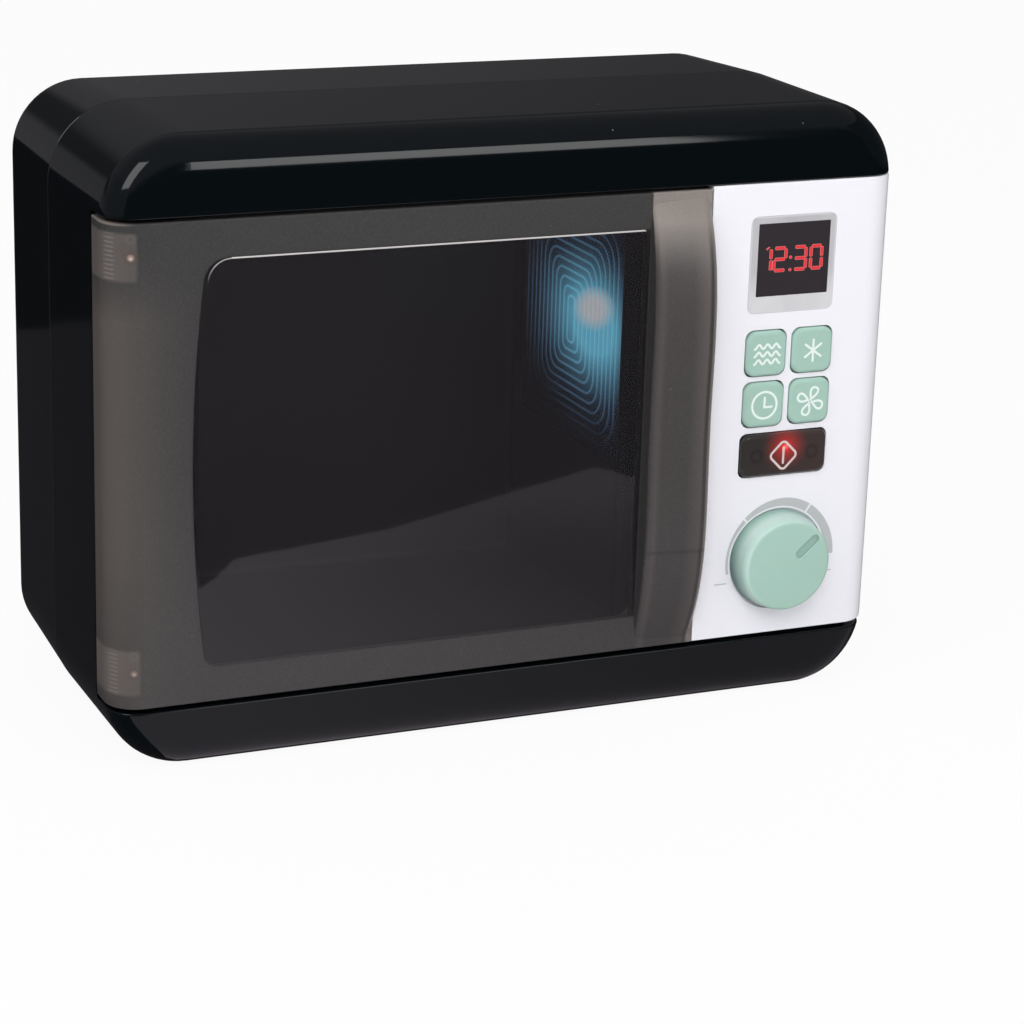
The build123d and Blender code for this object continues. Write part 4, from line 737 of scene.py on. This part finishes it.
def lit_panel(colours):
    """Blue light panel: white over its lamp, its ridges catching the light as it fades."""
    material, nodes, shader = new_finish("lit_panel", Emission_Strength=0.8, Roughness=0.25)
    vector, (x, y, z) = nodes.place()
    across = (y - CAVITY_LAMP.y) / (1.6 * MM)
    up = (z - CAVITY_LAMP.z) / MM

    def distance(rise):
        return (across * across + rise * rise).maths("SQRT")

    core = ((12.5 - distance(up * 1.35 + across * 0.45)) / 7.0).clamped()
    reach = distance(up + 6.0)
    near = ((33.5 - reach) / 22.0).clamped()
    far = ((50.0 - reach) / 24.0).clamped()
    ridge = x.below(PANEL_LEFT + 0.2 * MM, 0.15 * MM)
    shine = ridge * (1.65 - near * 0.65) + (1.0 - ridge) * (near * 0.5 + 0.22)
    light = nodes.mix((far * far * shine).clamped(), (0.0, 0.0, 0.0), colours.lamp_far)
    light = nodes.mix((near * near * shine).clamped(), light, colours.lamp_near)
    light = nodes.mix(core * (1.0 - ridge * 0.25), light, colours.lamp_core)
    nodes.feed(shader.inputs["Emission Color"], light)
    grain = nodes.noise(vector, 300.0, 2.0)
    paint(nodes, shader, nodes.mix(grain * 0.3, seen(22, 28, 42), seen(16, 20, 32)))
    return material


def clear_lamp(name, colour, glow):
    """Tinted lamp body, paler in patches."""
    material, nodes, shader = new_finish(name, Roughness=0.1, Emission_Strength=glow)
    vector, _ = nodes.place()
    grain = nodes.noise(vector, 500.0, 2.0)
    tint = nodes.mix(grain * 0.4, colour, (1.0, 1.0, 1.0))
    paint(nodes, shader, tint)
    nodes.feed(shader.inputs["Emission Color"], tint)
    return material


def plated_steel():
    """Zinc-plated steel: fine turning lines and slightly cloudy brightness."""
    material, nodes, shader = new_finish("plated_steel", Metallic=1.0)
    vector, _ = nodes.place()
    lines = nodes.noise(nodes.stretched(vector, 400.0, 6000.0, 400.0), 1.0, 2.0)
    cloud = nodes.noise(vector, 120.0, 3.0)
    paint(nodes, shader, nodes.mix(cloud, seen(206, 206, 208), seen(168, 168, 172)), cloud * 0.2 + 0.22)
    nodes.feed(shader.inputs["Normal"], nodes.bump(lines, 0.15, 0.03 * MM))
    return material


def plain_moulding(name, colour, other, roughness):
    """Inner moulding: two close shades, a fine grain and a soft sheen."""
    material, nodes, shader = new_finish(name)
    vector, _ = nodes.place()
    patches = nodes.noise(vector, 60.0, 3.0)
    paint(nodes, shader, nodes.mix(patches, seen(*colour), seen(*other)), patches * 0.15 + roughness)
    give_relief(nodes, shader, vector, 0.15, 0.08 * MM, Grain_Scale=1600.0, Grain=0.6)
    return material


def printed_board(colours):
    """Circuit board: tracks under a green mask."""
    material, nodes, shader = new_finish("printed_board", Roughness=0.35)
    vector, _ = nodes.place()
    cells = nodes.add("ShaderNodeTexVoronoi", {"Vector": vector, "Scale": 260.0}, distance="MANHATTAN")
    split = nodes.add("ShaderNodeSeparateColor", {"Color": cells.outputs["Color"]})
    tracks = Field(nodes, split.outputs["Red"]).above(0.55, 0.02)
    grain = nodes.noise(vector, 900.0, 2.0)
    tint = nodes.mix(tracks, colours.board, colours.copper)
    paint(nodes, shader, nodes.mix(grain * 0.2, tint, (0.01, 0.05, 0.02)))
    nodes.feed(shader.inputs["Normal"], nodes.bump(tracks, 0.2, 0.05 * MM))
    return material


# ------------------------------------------------------------------ shapes for the prints


def around(centre, reach, angle):
    """The point at a distance from a centre, in a direction in degrees."""
    return centre[0] + reach * cos(radians(angle)), centre[1] + reach * sin(radians(angle))


def arc(centre, radius, start, end, count):
    """Points along an arc, angles in degrees."""
    return [around(centre, radius, start + (end - start) * i / count) for i in range(count + 1)]


def circle(centre, radius, count):
    """Points all round a circle."""
    return arc(centre, radius, 0, 360 * (count - 1) / count, count - 1)


def rounded_outline(centre, width, height, radius, count=6):
    points = []
    for turn, (sx, sy) in enumerate(((1, 1), (-1, 1), (-1, -1), (1, -1))):
        corner = (centre[0] + sx * (width / 2 - radius), centre[1] + sy * (height / 2 - radius))
        points += arc(corner, radius, 90 * turn, 90 * turn + 90, count)
    return points


def smooth_points(points, passes=2):
    """A closed line with its corners cut twice, so that it runs smoothly."""
    for _ in range(passes):
        cut = []
        for (ax, ay), (bx, by) in zip(points, points[1:] + points[:1]):
            for share in (0.25, 0.75):
                cut.append(((1 - share) * ax + share * bx, (1 - share) * ay + share * by))
        points = cut
    return points


def stroked(points, width, closed=False):
    """Outlines of a line drawn with a round pen: one outline, or two if the line is closed."""
    half = width / 2
    count = len(points)
    sides = ([], [])
    for i, (px, py) in enumerate(points):
        ahead = points[(i + 1) % count] if closed else points[min(i + 1, count - 1)]
        behind = points[i - 1] if closed else points[max(i - 1, 0)]
        dx, dy = ahead[0] - behind[0], ahead[1] - behind[1]
        size = hypot(dx, dy)
        nx, ny = -dy / size * half, dx / size * half
        sides[0].append((px + nx, py + ny))
        sides[1].append((px - nx, py - ny))
    if closed:
        return list(sides)

    def cap(tip, towards):
        heading = degrees(atan2(tip[1] - towards[1], tip[0] - towards[0]))
        return arc(tip, half, heading + 90, heading - 90, 6)

    return [sides[0][:-1] + cap(points[-1], points[-2]) + sides[1][-2:0:-1] + cap(points[0], points[1])]


def printed(name, outlines, surface, height, material, body, view=FRONT_VIEW):
    """A print of closed outlines, as a thin solid on a face that looks to the front or to the left."""
    curve = bpy.data.curves.new(name, "CURVE")
    curve.dimensions = "2D"
    curve.fill_mode = "BOTH"
    curve.extrude = height / 2
    for outline in outlines:
        spline = curve.splines.new("POLY")
        spline.points.add(len(outline) - 1)
        for point, (x, z) in zip(spline.points, outline):
            point.co = (x, z, 0.0, 1.0)
        spline.use_cyclic_u = True
    drawn = bpy.data.objects.new(name + "_line", curve)
    mesh = bpy.data.meshes.new_from_object(drawn)
    mesh.name = name
    bpy.data.objects.remove(drawn)
    bpy.data.curves.remove(curve)
    level = surface - height / 2
    mesh.transform(Matrix.Translation((0, level, 0) if view is FRONT_VIEW else (level, 0, 0)) @ view)
    piece = bpy.data.objects.new(name, mesh)
    bpy.context.scene.collection.objects.link(piece)
    mesh.materials.clear()
    mesh.materials.append(material)
    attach(piece, body)


def waves_icon(centre, stroke):
    """Three wavy lines."""
    width, pitch, swing, turns, steps = 10.9 * MM, 3.0 * MM, 0.85 * MM, 6 * pi, 36
    rows = []
    for row in (-1, 0, 1):
        points = []
        for i in range(steps + 1):
            t = i / steps
            points.append((centre[0] + (t - 0.5) * width, centre[1] + row * pitch - swing * cos(t * turns)))
        rows += stroked(points, stroke)
    return rows


def cold_icon(centre, stroke):
    """Six arms from one centre, as one outline."""
    reach = 4.2 * MM
    arms = [-36, 36, 90, 144, 216, 270]
    outline = []
    for angle, following in zip(arms, [*arms[1:], arms[0] + 360]):
        outline += arc(around(centre, reach, angle), stroke / 2, angle - 90, angle + 90, 6)
        notch = stroke / 2 / sin(radians(following - angle) / 2)
        outline.append(around(centre, notch, (angle + following) / 2))
    return [outline]


def clock_icon(centre, stroke):
    """Clock face with its hands up and to the right."""
    radius, drop, up_hand, right_hand = 5.25 * MM, 0.8 * MM, 4.1 * MM, 3.5 * MM
    ring = stroked(circle(centre, radius, 48), stroke, closed=True)
    x, z = centre[0], centre[1] - drop
    half = stroke / 2
    hands = [(x - half, z - half), (x + right_hand, z - half), (x + right_hand, z + half),
             (x + half, z + half), (x + half, z + up_hand), (x - half, z + up_hand)]
    return [*ring, hands]


def fan_icon(centre, stroke):
    """Four outlined blades round a small hub."""
    hub, hub_line, first = 0.62 * MM, 0.45 * MM, 70
    blade = [(1.0, -0.2), (2.2, -1.0), (3.9, -1.9), (5.4, -1.7),
             (5.9, -0.3), (5.3, 1.1), (3.8, 1.35), (2.2, 0.7)]
    outlines = stroked(circle(centre, hub, 24), hub_line, closed=True)
    for turn in range(4):
        angle = radians(first + 90 * turn)
        c, s = cos(angle), sin(angle)
        points = [(centre[0] + MM * (u * c - v * s), centre[1] + MM * (u * s + v * c)) for u, v in blade]
        outlines += stroked(smooth_points(points), stroke, closed=True)
    return outlines


def start_icon(centre, stroke):
    """Rounded diamond outline with an upright bar."""
    reach, bar_reach = 6.1 * MM, 3.1 * MM
    corners = [around(centre, reach, angle) for angle in (90, 180, 270, 0)]
    points = []
    for i, (x, z) in enumerate(corners):
        before, after = corners[i - 1], corners[(i + 1) % 4]
        for other, share in ((before, 0.26), (before, 0.12), (after, 0.12), (after, 0.26)):
            points.append((x + (other[0] - x) * share, z + (other[1] - z) * share))
    diamond = stroked(smooth_points(points), stroke, closed=True)
    bar = stroked([(centre[0], centre[1] - bar_reach), (centre[0], centre[1] + bar_reach)], stroke)
    return [*diamond, *bar]


ICONS = {
    "button_waves": waves_icon,
    "button_cold": cold_icon,
    "button_clock": clock_icon,
    "button_fan": fan_icon,
}

# which of a digit's seven bars are lit: top, upper right, lower right, foot, lower left, upper left
# and middle are a to g
DIGIT_BARS = {"0": "abcdef", "1": "bc", "2": "abged", "3": "abgcd"}


def digit_bars(digit, left, foot, width, height, stroke):
    """Outlines of a digit's bars, each a long hexagon."""
    half, gap = stroke / 2, 0.3 * stroke
    right, top, waist = left + width, foot + height, foot + height / 2
    ends = {
        "a": ((left, top), (right, top)),
        "b": ((right, waist), (right, top)),
        "c": ((right, foot), (right, waist)),
        "d": ((left, foot), (right, foot)),
        "e": ((left, foot), (left, waist)),
        "f": ((left, waist), (left, top)),
        "g": ((left, waist), (right, waist)),
    }
    outlines = []
    for bar in DIGIT_BARS[digit]:
        (ax, az), (bx, bz) = ends[bar]
        span = hypot(bx - ax, bz - az)
        dx, dz = (bx - ax) / span, (bz - az) / span
        corners = ((gap, 0), (half, half), (span - half, half), (span - gap, 0),
                   (span - half, -half), (half, -half))
        outlines.append([(ax + dx * along - dz * off, az + dz * along + dx * off) for along, off in corners])
    return outlines


def display_bars(tall, stroke):
    """Outlines of all that the display shows: its digits' bars, the flag of its 1 and its colon."""
    foot = LABEL_LOW.z + DIGIT_FOOT
    head = foot + tall
    bars = []
    for digit, left, width in DIGITS:
        bars += digit_bars(digit, left * MM, foot, width * MM, tall - stroke, stroke)
    bars.append([(100.2 * MM, head - stroke * 1.35), (101.2 * MM, head - stroke * 0.55),
                 (100.9 * MM, head - stroke * 0.4), (99.9 * MM, head - stroke * 1.0)])
    for level in (foot, foot + COLON_GAP):
        bars.append(arc((COLON, level), COLON_RADIUS, 0, 345, 15))
    return bars


def grown(outline, amount):
    """A convex outline moved outwards."""
    following = outline[1:] + outline[:1]
    area = sum(ax * bz - bx * az for (ax, az), (bx, bz) in zip(outline, following))
    side = 1 if area > 0 else -1
    out = []
    for before, (x, z), after in zip(outline[-1:] + outline[:-1], outline, following):
        normals = []
        for (ax, az), (bx, bz) in ((before, (x, z)), ((x, z), after)):
            size = hypot(bx - ax, bz - az)
            normals.append((side * (bz - az) / size, side * (ax - bx) / size))
        nx, nz = normals[0][0] + normals[1][0], normals[0][1] + normals[1][1]
        scale = 2 * amount / (nx * nx + nz * nz)
        out.append((x + nx * scale, z + nz * scale))
    return out


def scale_outlines(centre):
    """The knob's scale: a band that widens clockwise, cut by two gaps, and its end marks."""
    inner, widest, narrowing, mark = 21.3 * MM, 24.9 * MM, 2.6 * MM, 0.5 * MM
    from_angle, to_angle = 60, 170

    def outer(angle):
        t = min(max((angle - from_angle) / (to_angle - from_angle), 0), 1)
        return widest - narrowing * t * t * (3 - 2 * t)

    outlines = []
    for start, end in ((-1, 55.6), (57.6, 130), (132, 192)):
        angles = [start + (end - start) * i / 24 for i in range(25)]
        rim = [around(centre, outer(angle), angle) for angle in angles]
        outlines.append(rim + arc(centre, inner, end, start, 24))
    for side, near, far, level in ((-1, 21.6, 26.6, -8.3), (1, 22.6, 24.4, -7.4)):
        ends = [(centre[0] + side * reach * MM, centre[1] + level * MM) for reach in (near, far)]
        outlines += stroked(ends, mark)
    return outlines


def panel_ridges():
    """The light panel's ridges, each as an outer and an inner outline."""
    outlines = []
    for ring in range(RIDGES):
        half_width, half_height = (first + ring * step for first, step in zip(RIDGE_FIRST, RIDGE_STEP))
        radius = min(half_width - 0.2 * MM, (2.8 + ring) * MM)
        for inset in (0.0, RIDGE):
            outlines.append(rounded_outline(
                PANEL_MIDDLE, 2 * (half_width - inset), 2 * (half_height - inset), radius - inset))
    return outlines


# ------------------------------------------------------------------ operators


class OvenOperator(bpy.types.Operator):
    """Shared by the operators below: how each finds its settings"""

    bl_options = {"REGISTER", "UNDO"}

    @property
    def colours(self):
        return bpy.context.scene.oven_colours

    @property
    def prints(self):
        return bpy.context.scene.oven_print

    @property
    def studio(self):
        return bpy.context.scene.oven_studio


class OVEN_OT_case(OvenOperator):
    """Finish the case shells and the battery cover"""

    bl_idname = "toy_oven.case"
    bl_label = "Case"

    def execute(self, context):
        set_finish(glossy_case(self.colours), "case_front", "case_rear", "battery_cover")
        return {"FINISHED"}


class OVEN_OT_door(OvenOperator):
    """Finish the smoked door"""

    bl_idname = "toy_oven.door"
    bl_label = "Door"

    def execute(self, context):
        set_finish(smoked_door(self.colours), "door")
        return {"FINISHED"}


class OVEN_OT_cavity(OvenOperator):
    """Finish the cavity and light its panel"""

    bl_idname = "toy_oven.cavity"
    bl_label = "Cavity and light panel"

    def execute(self, context):
        set_finish(dull_black(self.colours), "cavity_liner", "battery_box", "door_catch")
        glow = lit_panel(self.colours)
        set_finish(glow, "light_panel")
        printed("light_panel_ridges", panel_ridges(), PANEL_LEFT + RIDGE_RISE, RIDGE_RISE, glow,
                "case", SIDE_VIEW)
        set_finish(clear_lamp("lamp_blue", self.colours.lamp_near, 4.0), "cavity_lamp")
        return {"FINISHED"}


class OVEN_OT_fascia(OvenOperator):
    """Finish the fascia and print the knob's scale on it"""

    bl_idname = "toy_oven.fascia"
    bl_label = "Fascia"

    def execute(self, context):
        set_finish(white_fascia(self.colours), "control_fascia")
        grey = ink("scale_ink", self.colours.scale, seen(178, 179, 182))
        printed("knob_scale", scale_outlines(KNOB_MIDDLE), FASCIA_FRONT, self.prints.height,
                grey, "case")
        return {"FINISHED"}


class OVEN_OT_display(OvenOperator):
    """Finish the display label: foil border, dark field and digits"""

    bl_idname = "toy_oven.display"
    bl_label = "Display"

    def execute(self, context):
        set_finish(brushed_foil(self.colours), "display_label")
        surface, height = LABEL_LOW.y, self.prints.height
        left, right = LABEL_LOW.x + 3.2 * MM, LABEL_HIGH.x - 2.6 * MM
        low, high = LABEL_LOW.z + 6.5 * MM, LABEL_HIGH.z - 2.8 * MM
        field = rounded_outline(((left + right) / 2, (low + high) / 2), right - left, high - low, 0.3 * MM)
        dark = ink("display_ink", self.colours.display, seen(58, 50, 54))
        printed("display_field", [field], surface, height, dark, "case")

        # the digits and their pale lines get a faint painted glow, though the label has no lamp
        pale = ink("digit_edge_ink", self.colours.digit_edge, seen(190, 110, 110), glow=0.1)
        red = ink("digit_ink", self.colours.digits, seen(205, 38, 42), glow=0.25)
        for index, bar in enumerate(display_bars(self.prints.digit_height, self.prints.digit_stroke)):
            edge = [grown(bar, self.prints.digit_line)]
            printed(f"digit_edge_{index:02d}", edge, surface - height, height, pale, "case")
            front = surface - 2 * height
            printed(f"digit_bar_{index:02d}", [bar], front, height, red, "case")
        return {"FINISHED"}


class OVEN_OT_buttons(OvenOperator):
    """Finish the four push buttons and print their symbols"""

    bl_idname = "toy_oven.buttons"
    bl_label = "Push buttons"

    def execute(self, context):
        mint = mint_plastic(self.colours)
        white = ink("icon_ink", self.colours.icon, seen(214, 232, 226))
        for button, icon in ICONS.items():
            set_finish(mint, button)
            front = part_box(button)[0].y
            outlines = icon(middle(button), self.prints.icon_stroke)
            printed(button + "_icon", outlines, front, self.prints.height, white, button + "_body")
        return {"FINISHED"}


class OVEN_OT_start_button(OvenOperator):
    """Finish the start button, its lamp and its symbol"""

    bl_idname = "toy_oven.start_button"
    bl_label = "Start button"

    def execute(self, context):
        set_finish(smoked_start(self.colours), "start_button")
        set_finish(clear_lamp("lamp_red", self.colours.start_glow, 3.0), "start_lamp")
        pale = ink("start_icon_ink", self.colours.start_icon, seen(196, 178, 176), glow=0.08)
        centre = middle("start_button")
        outlines = start_icon((centre[0] - 0.3 * MM, centre[1] - 0.5 * MM), self.prints.icon_stroke)
        printed("start_icon", outlines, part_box("start_button")[0].y, self.prints.height, pale,
                "start_button_body")
        return {"FINISHED"}


class OVEN_OT_knob(OvenOperator):
    """Finish the knob"""

    bl_idname = "toy_oven.knob"
    bl_label = "Knob"

    def execute(self, context):
        set_finish(bpy.data.materials.get("mint_plastic") or mint_plastic(self.colours), "knob")
        return {"FINISHED"}


# finishes of the inner mouldings: the shade, its other shade, its roughness and the nodes that wear it
INNER_MOULDINGS = {
    "white_moulding": ((225, 224, 219), (208, 207, 202), 0.4,
                       ("click_wheel", "click_spring", "lamp_reflector")),
    "chip_moulding": ((34, 34, 36), (26, 26, 28), 0.45, ("board_chip",)),
    "silicone": ((150, 150, 152), (138, 138, 141), 0.5, ("rubber_keypad",)),
    "cell_wrap": ((52, 110, 62), (44, 96, 54), 0.25, ("batteries",)),
    "speaker_cone": ((44, 42, 42), (30, 29, 30), 0.55, ("loudspeaker",)),
    "wire_red": ((170, 30, 30), (150, 24, 24), 0.35, ("battery_wires",)),
    "wire_black": ((30, 30, 31), (22, 22, 23), 0.35, ("speaker_wires", "lamp_wires")),
}


class OVEN_OT_insides(OvenOperator):
    """Finish the metal, the boards, the battery parts, the loudspeaker and the wires"""

    bl_idname = "toy_oven.insides"
    bl_label = "Metal and insides"

    def execute(self, context):
        set_finish(plated_steel(), "hinge_pin_upper", "hinge_pin_lower", "case_screws",
                   "front_screws", "knob_screw", "speaker_screws", "battery_cover_screw",
                   "battery_contacts", "battery_springs")
        set_finish(printed_board(self.colours), "circuit_board", "lamp_board")
        for name, (shade, other, roughness, worn_by) in INNER_MOULDINGS.items():
            set_finish(plain_moulding(name, shade, other, roughness), *worn_by)
        return {"FINISHED"}


def flag(name, corners, tone, colour=(251, 248, 254)):
    """A dark studio card that only reflections see: its tone is a number or a function of its place."""
    mesh = bpy.data.meshes.new(name)
    mesh.from_pydata(corners, [], [tuple(range(len(corners)))])
    card = bpy.data.objects.new(name, mesh)
    bpy.context.scene.collection.objects.link(card)
    material = bpy.data.materials.new(name)
    material.use_nodes = True
    nodes = Nodes(material.node_tree)
    material.node_tree.nodes.clear()
    strength = tone(*nodes.place()[1]) if callable(tone) else tone
    shine = nodes.add("ShaderNodeEmission", {"Color": seen(*colour), "Strength": strength})
    nodes.add("ShaderNodeOutputMaterial", {"Surface": shine.outputs[0]})
    mesh.materials.append(material)
    for ray in ("camera", "diffuse", "transmission", "volume_scatter", "shadow"):
        setattr(card, "visible_" + ray, False)


def rear_tone(x, y, z):
    """Card behind: paler on the left, with a dark band across its left end."""
    across = ((x + 0.2) / 1.6).clamped()
    band = z.above(0.55, 0.12) * z.below(0.98, 0.2) * x.below(-0.1, 0.2)
    return (0.125 - across * 0.062) * (1.0 - band * 0.7)


def front_tone(x, y, z):
    """Card in front: nearly black low down, paler above."""
    return ((z - 0.8) / 0.9).clamped() * 0.16 + 0.012


def table_tone(x, y, z):
    """Floor in front: white on the left, duller on the right and in the object's own shade."""
    across = ((x + 0.1) / 0.2).clamped()
    away = ((-0.13 - y) / 0.035).clamped()
    far = ((-0.24 - y) / 0.1).clamped()
    return (1.0 - across) * (away * 0.6 + 0.46) + across * (far * 0.3 + 0.27)


def soft_box(name, place, target, width, depth, power, in_reflections=True):
    lamp = bpy.data.lights.new(name, "AREA")
    lamp.shape = "RECTANGLE"
    lamp.size, lamp.size_y = width, depth
    lamp.energy = power
    holder = bpy.data.objects.new(name, lamp)
    bpy.context.scene.collection.objects.link(holder)
    holder.location = place
    holder.rotation_euler = (Vector(target) - Vector(place)).to_track_quat("-Z", "Y").to_euler()
    holder.visible_camera = False
    holder.visible_glossy = in_reflections


def shown_rays(nodes):
    """1 for rays from the camera, mirrors and glass, which see the plain white background."""
    rays = nodes.add("ShaderNodeLightPath")
    kinds = [Field(nodes, rays.outputs[f"Is {kind} Ray"]) for kind in ("Camera", "Glossy", "Transmission")]
    return kinds[0].most(kinds[1]).most(kinds[2])


# outlines of two sheets on the floor, as (x, y): a dark one under and behind the object, a pale one in front
NEAR_SHEET = ((-0.6, -0.25), (0.45, -0.25), (0.45, 0.3), (-0.22, 0.57), (-0.6, 0.57))
TABLE_SHEET = ((-0.135, -0.068), (-0.15, -0.082), (-0.19, -0.1), (-0.12, -0.20), (-0.054, -0.267),
               (-0.038, -0.289), (-0.005, -0.296), (0.042, -0.307), (0.171, -0.366), (0.184, -0.341),
               (0.26, -0.3), (0.26, -0.066))


class OVEN_OT_stage(OvenOperator):
    """Lay the floor, hang the soft lights and the dark cards, and set the camera"""

    bl_idname = "toy_oven.stage"
    bl_label = "Stage"

    def execute(self, context):
        scene = context.scene
        scene.view_settings.view_transform = "Standard"
        self.surround(scene)
        self.cards()
        self.floor()
        soft_box("front_box", (0.55, -1.5, 0.50), (0.55, 0.0, 0.50), 0.5, 0.55, self.studio.front_power)
        soft_box("left_box", (-1.19, -0.62, 1.24), (-0.145, -0.07, 0.22), 0.62, 0.95, self.studio.left_power)
        soft_box("main_box", (-0.4, -1.15, 1.2), (0, 0, 0.12), 0.9, 0.9, self.studio.key_power,
                 in_reflections=False)
        self.camera(scene)
        return {"FINISHED"}

    def surround(self, scene):
        """White world behind the object and a plain level of light from all round."""
        world = bpy.data.worlds.new("studio_world")
        scene.world = world
        world.use_nodes = True
        nodes = Nodes(world.node_tree)
        world.node_tree.nodes.clear()
        strength = shown_rays(nodes) * (1.0 - self.studio.fill) + self.studio.fill
        back = nodes.add("ShaderNodeBackground", {"Color": (1.0, 1.0, 1.0), "Strength": strength})
        nodes.add("ShaderNodeOutputWorld", {"Surface": back.outputs[0]})

    def cards(self):
        """Dark walls and ceiling, and sheets on the floor, for the glossy case to mirror."""
        reach, low, high = 2.6, -0.02, 1.9
        dark = self.studio.surroundings
        for name, (ax, ay), (bx, by), tone in (
            ("card_back", (-reach, reach), (reach, reach), rear_tone),
            ("card_front", (-reach, -reach), (reach, -reach), front_tone),
            ("card_left", (-reach, -reach), (-reach, reach), dark * 1.8),
            ("card_right", (reach, -reach), (reach, reach), dark * 0.6),
        ):
            flag(name, [(ax, ay, low), (bx, by, low), (bx, by, high), (ax, ay, high)], tone)
        wide = ((-reach, -reach), (reach, -reach), (reach, reach), (-reach, reach))
        flag("card_top", [(x, y, high) for x, y in wide], dark * 2.2)
        for name, step, corners, tone in (
            ("sheet_far", 1, wide, dark * 0.12),
            ("sheet_near", 2, NEAR_SHEET, dark * 0.44),
            ("sheet_table", 3, TABLE_SHEET, table_tone),
        ):
            flag(name, [(x, y, step * MM) for x, y in corners], tone, (255, 243, 255))

    def floor(self):
        """A wide pale floor that keeps the object's shadow and shows white to the camera."""
        reach = 6.0
        mesh = bpy.data.meshes.new("floor")
        mesh.from_pydata([(-reach, -reach, 0), (reach, -reach, 0), (reach, reach, 0), (-reach, reach, 0)],
                         [], [(0, 1, 2, 3)])
        ground = bpy.data.objects.new("floor", mesh)
        bpy.context.scene.collection.objects.link(ground)
        material, nodes, shader = new_finish("floor_paper", Roughness=0.6, Specular_Ior_Level=0.1)
        vector, _ = nodes.place()
        tone = nodes.noise(vector, 3.0, 2.0)
        nodes.feed(shader.inputs["Base Color"], nodes.mix(tone * 0.2, (0.93, 0.93, 0.94), (0.9, 0.9, 0.91)))
        white = nodes.add("ShaderNodeEmission", {"Color": (1.0, 1.0, 1.0), "Strength": 1.0})
        shares = {0: shown_rays(nodes) * self.studio.paper, 1: shader.outputs[0], 2: white.outputs[0]}
        both = nodes.add("ShaderNodeMixShader", shares)
        nodes.feed(nodes.tree.nodes["Material Output"].inputs["Surface"], both.outputs[0])
        mesh.materials.append(material)

    def camera(self, scene):
        """Camera in front of the object, to its left and a little above it."""
        yaw, pitch, roll = radians(23.885), radians(17.764), radians(1.783)
        ahead = Vector((sin(yaw) * cos(pitch), cos(yaw) * cos(pitch), -sin(pitch)))
        right = Vector((cos(yaw), -sin(yaw), 0))
        up = Vector((sin(yaw) * sin(pitch), cos(yaw) * sin(pitch), cos(pitch)))
        right, up = right * cos(roll) + up * sin(roll), up * cos(roll) - right * sin(roll)
        lens = bpy.data.cameras.new("camera")
        lens.sensor_width = 36.0
        lens.lens = self.studio.lens
        lens.clip_start = 0.05
        view = bpy.data.objects.new("camera", lens)
        scene.collection.objects.link(view)
        place = Matrix.Translation((-0.44384, -1.07153, 0.43688))
        view.matrix_world = place @ Matrix((right, up, -ahead)).transposed().to_4x4()
        scene.camera = view


OPERATORS = (OVEN_OT_case, OVEN_OT_cavity, OVEN_OT_door, OVEN_OT_fascia, OVEN_OT_display, OVEN_OT_buttons,
             OVEN_OT_start_button, OVEN_OT_knob, OVEN_OT_insides, OVEN_OT_stage)


class OVEN_PT_panel(bpy.types.Panel):
    """Lists the steps that finish the toy oven"""

    bl_idname = "OVEN_PT_panel"
    bl_label = "Toy Oven"
    bl_space_type = "VIEW_3D"
    bl_region_type = "UI"
    bl_category = "Toy Oven"

    def draw(self, context):
        for step in OPERATORS:
            self.layout.operator(step.bl_idname)


CLASSES = (OvenColours, OvenPrint, OvenStudio, *OPERATORS, OVEN_PT_panel)


def register():
    for cls in CLASSES:
        bpy.utils.register_class(cls)
    bpy.types.Scene.oven_colours = PointerProperty(type=OvenColours)
    bpy.types.Scene.oven_print = PointerProperty(type=OvenPrint)
    bpy.types.Scene.oven_studio = PointerProperty(type=OvenStudio)


def unregister():
    del bpy.types.Scene.oven_colours
    del bpy.types.Scene.oven_print
    del bpy.types.Scene.oven_studio
    for cls in reversed(CLASSES):
        bpy.utils.unregister_class(cls)


def main():
    register()
    for step in OPERATORS:
        group, action = step.bl_idname.split(".")
        getattr(getattr(bpy.ops, group), action)()


if __name__ == "__main__":
    main()
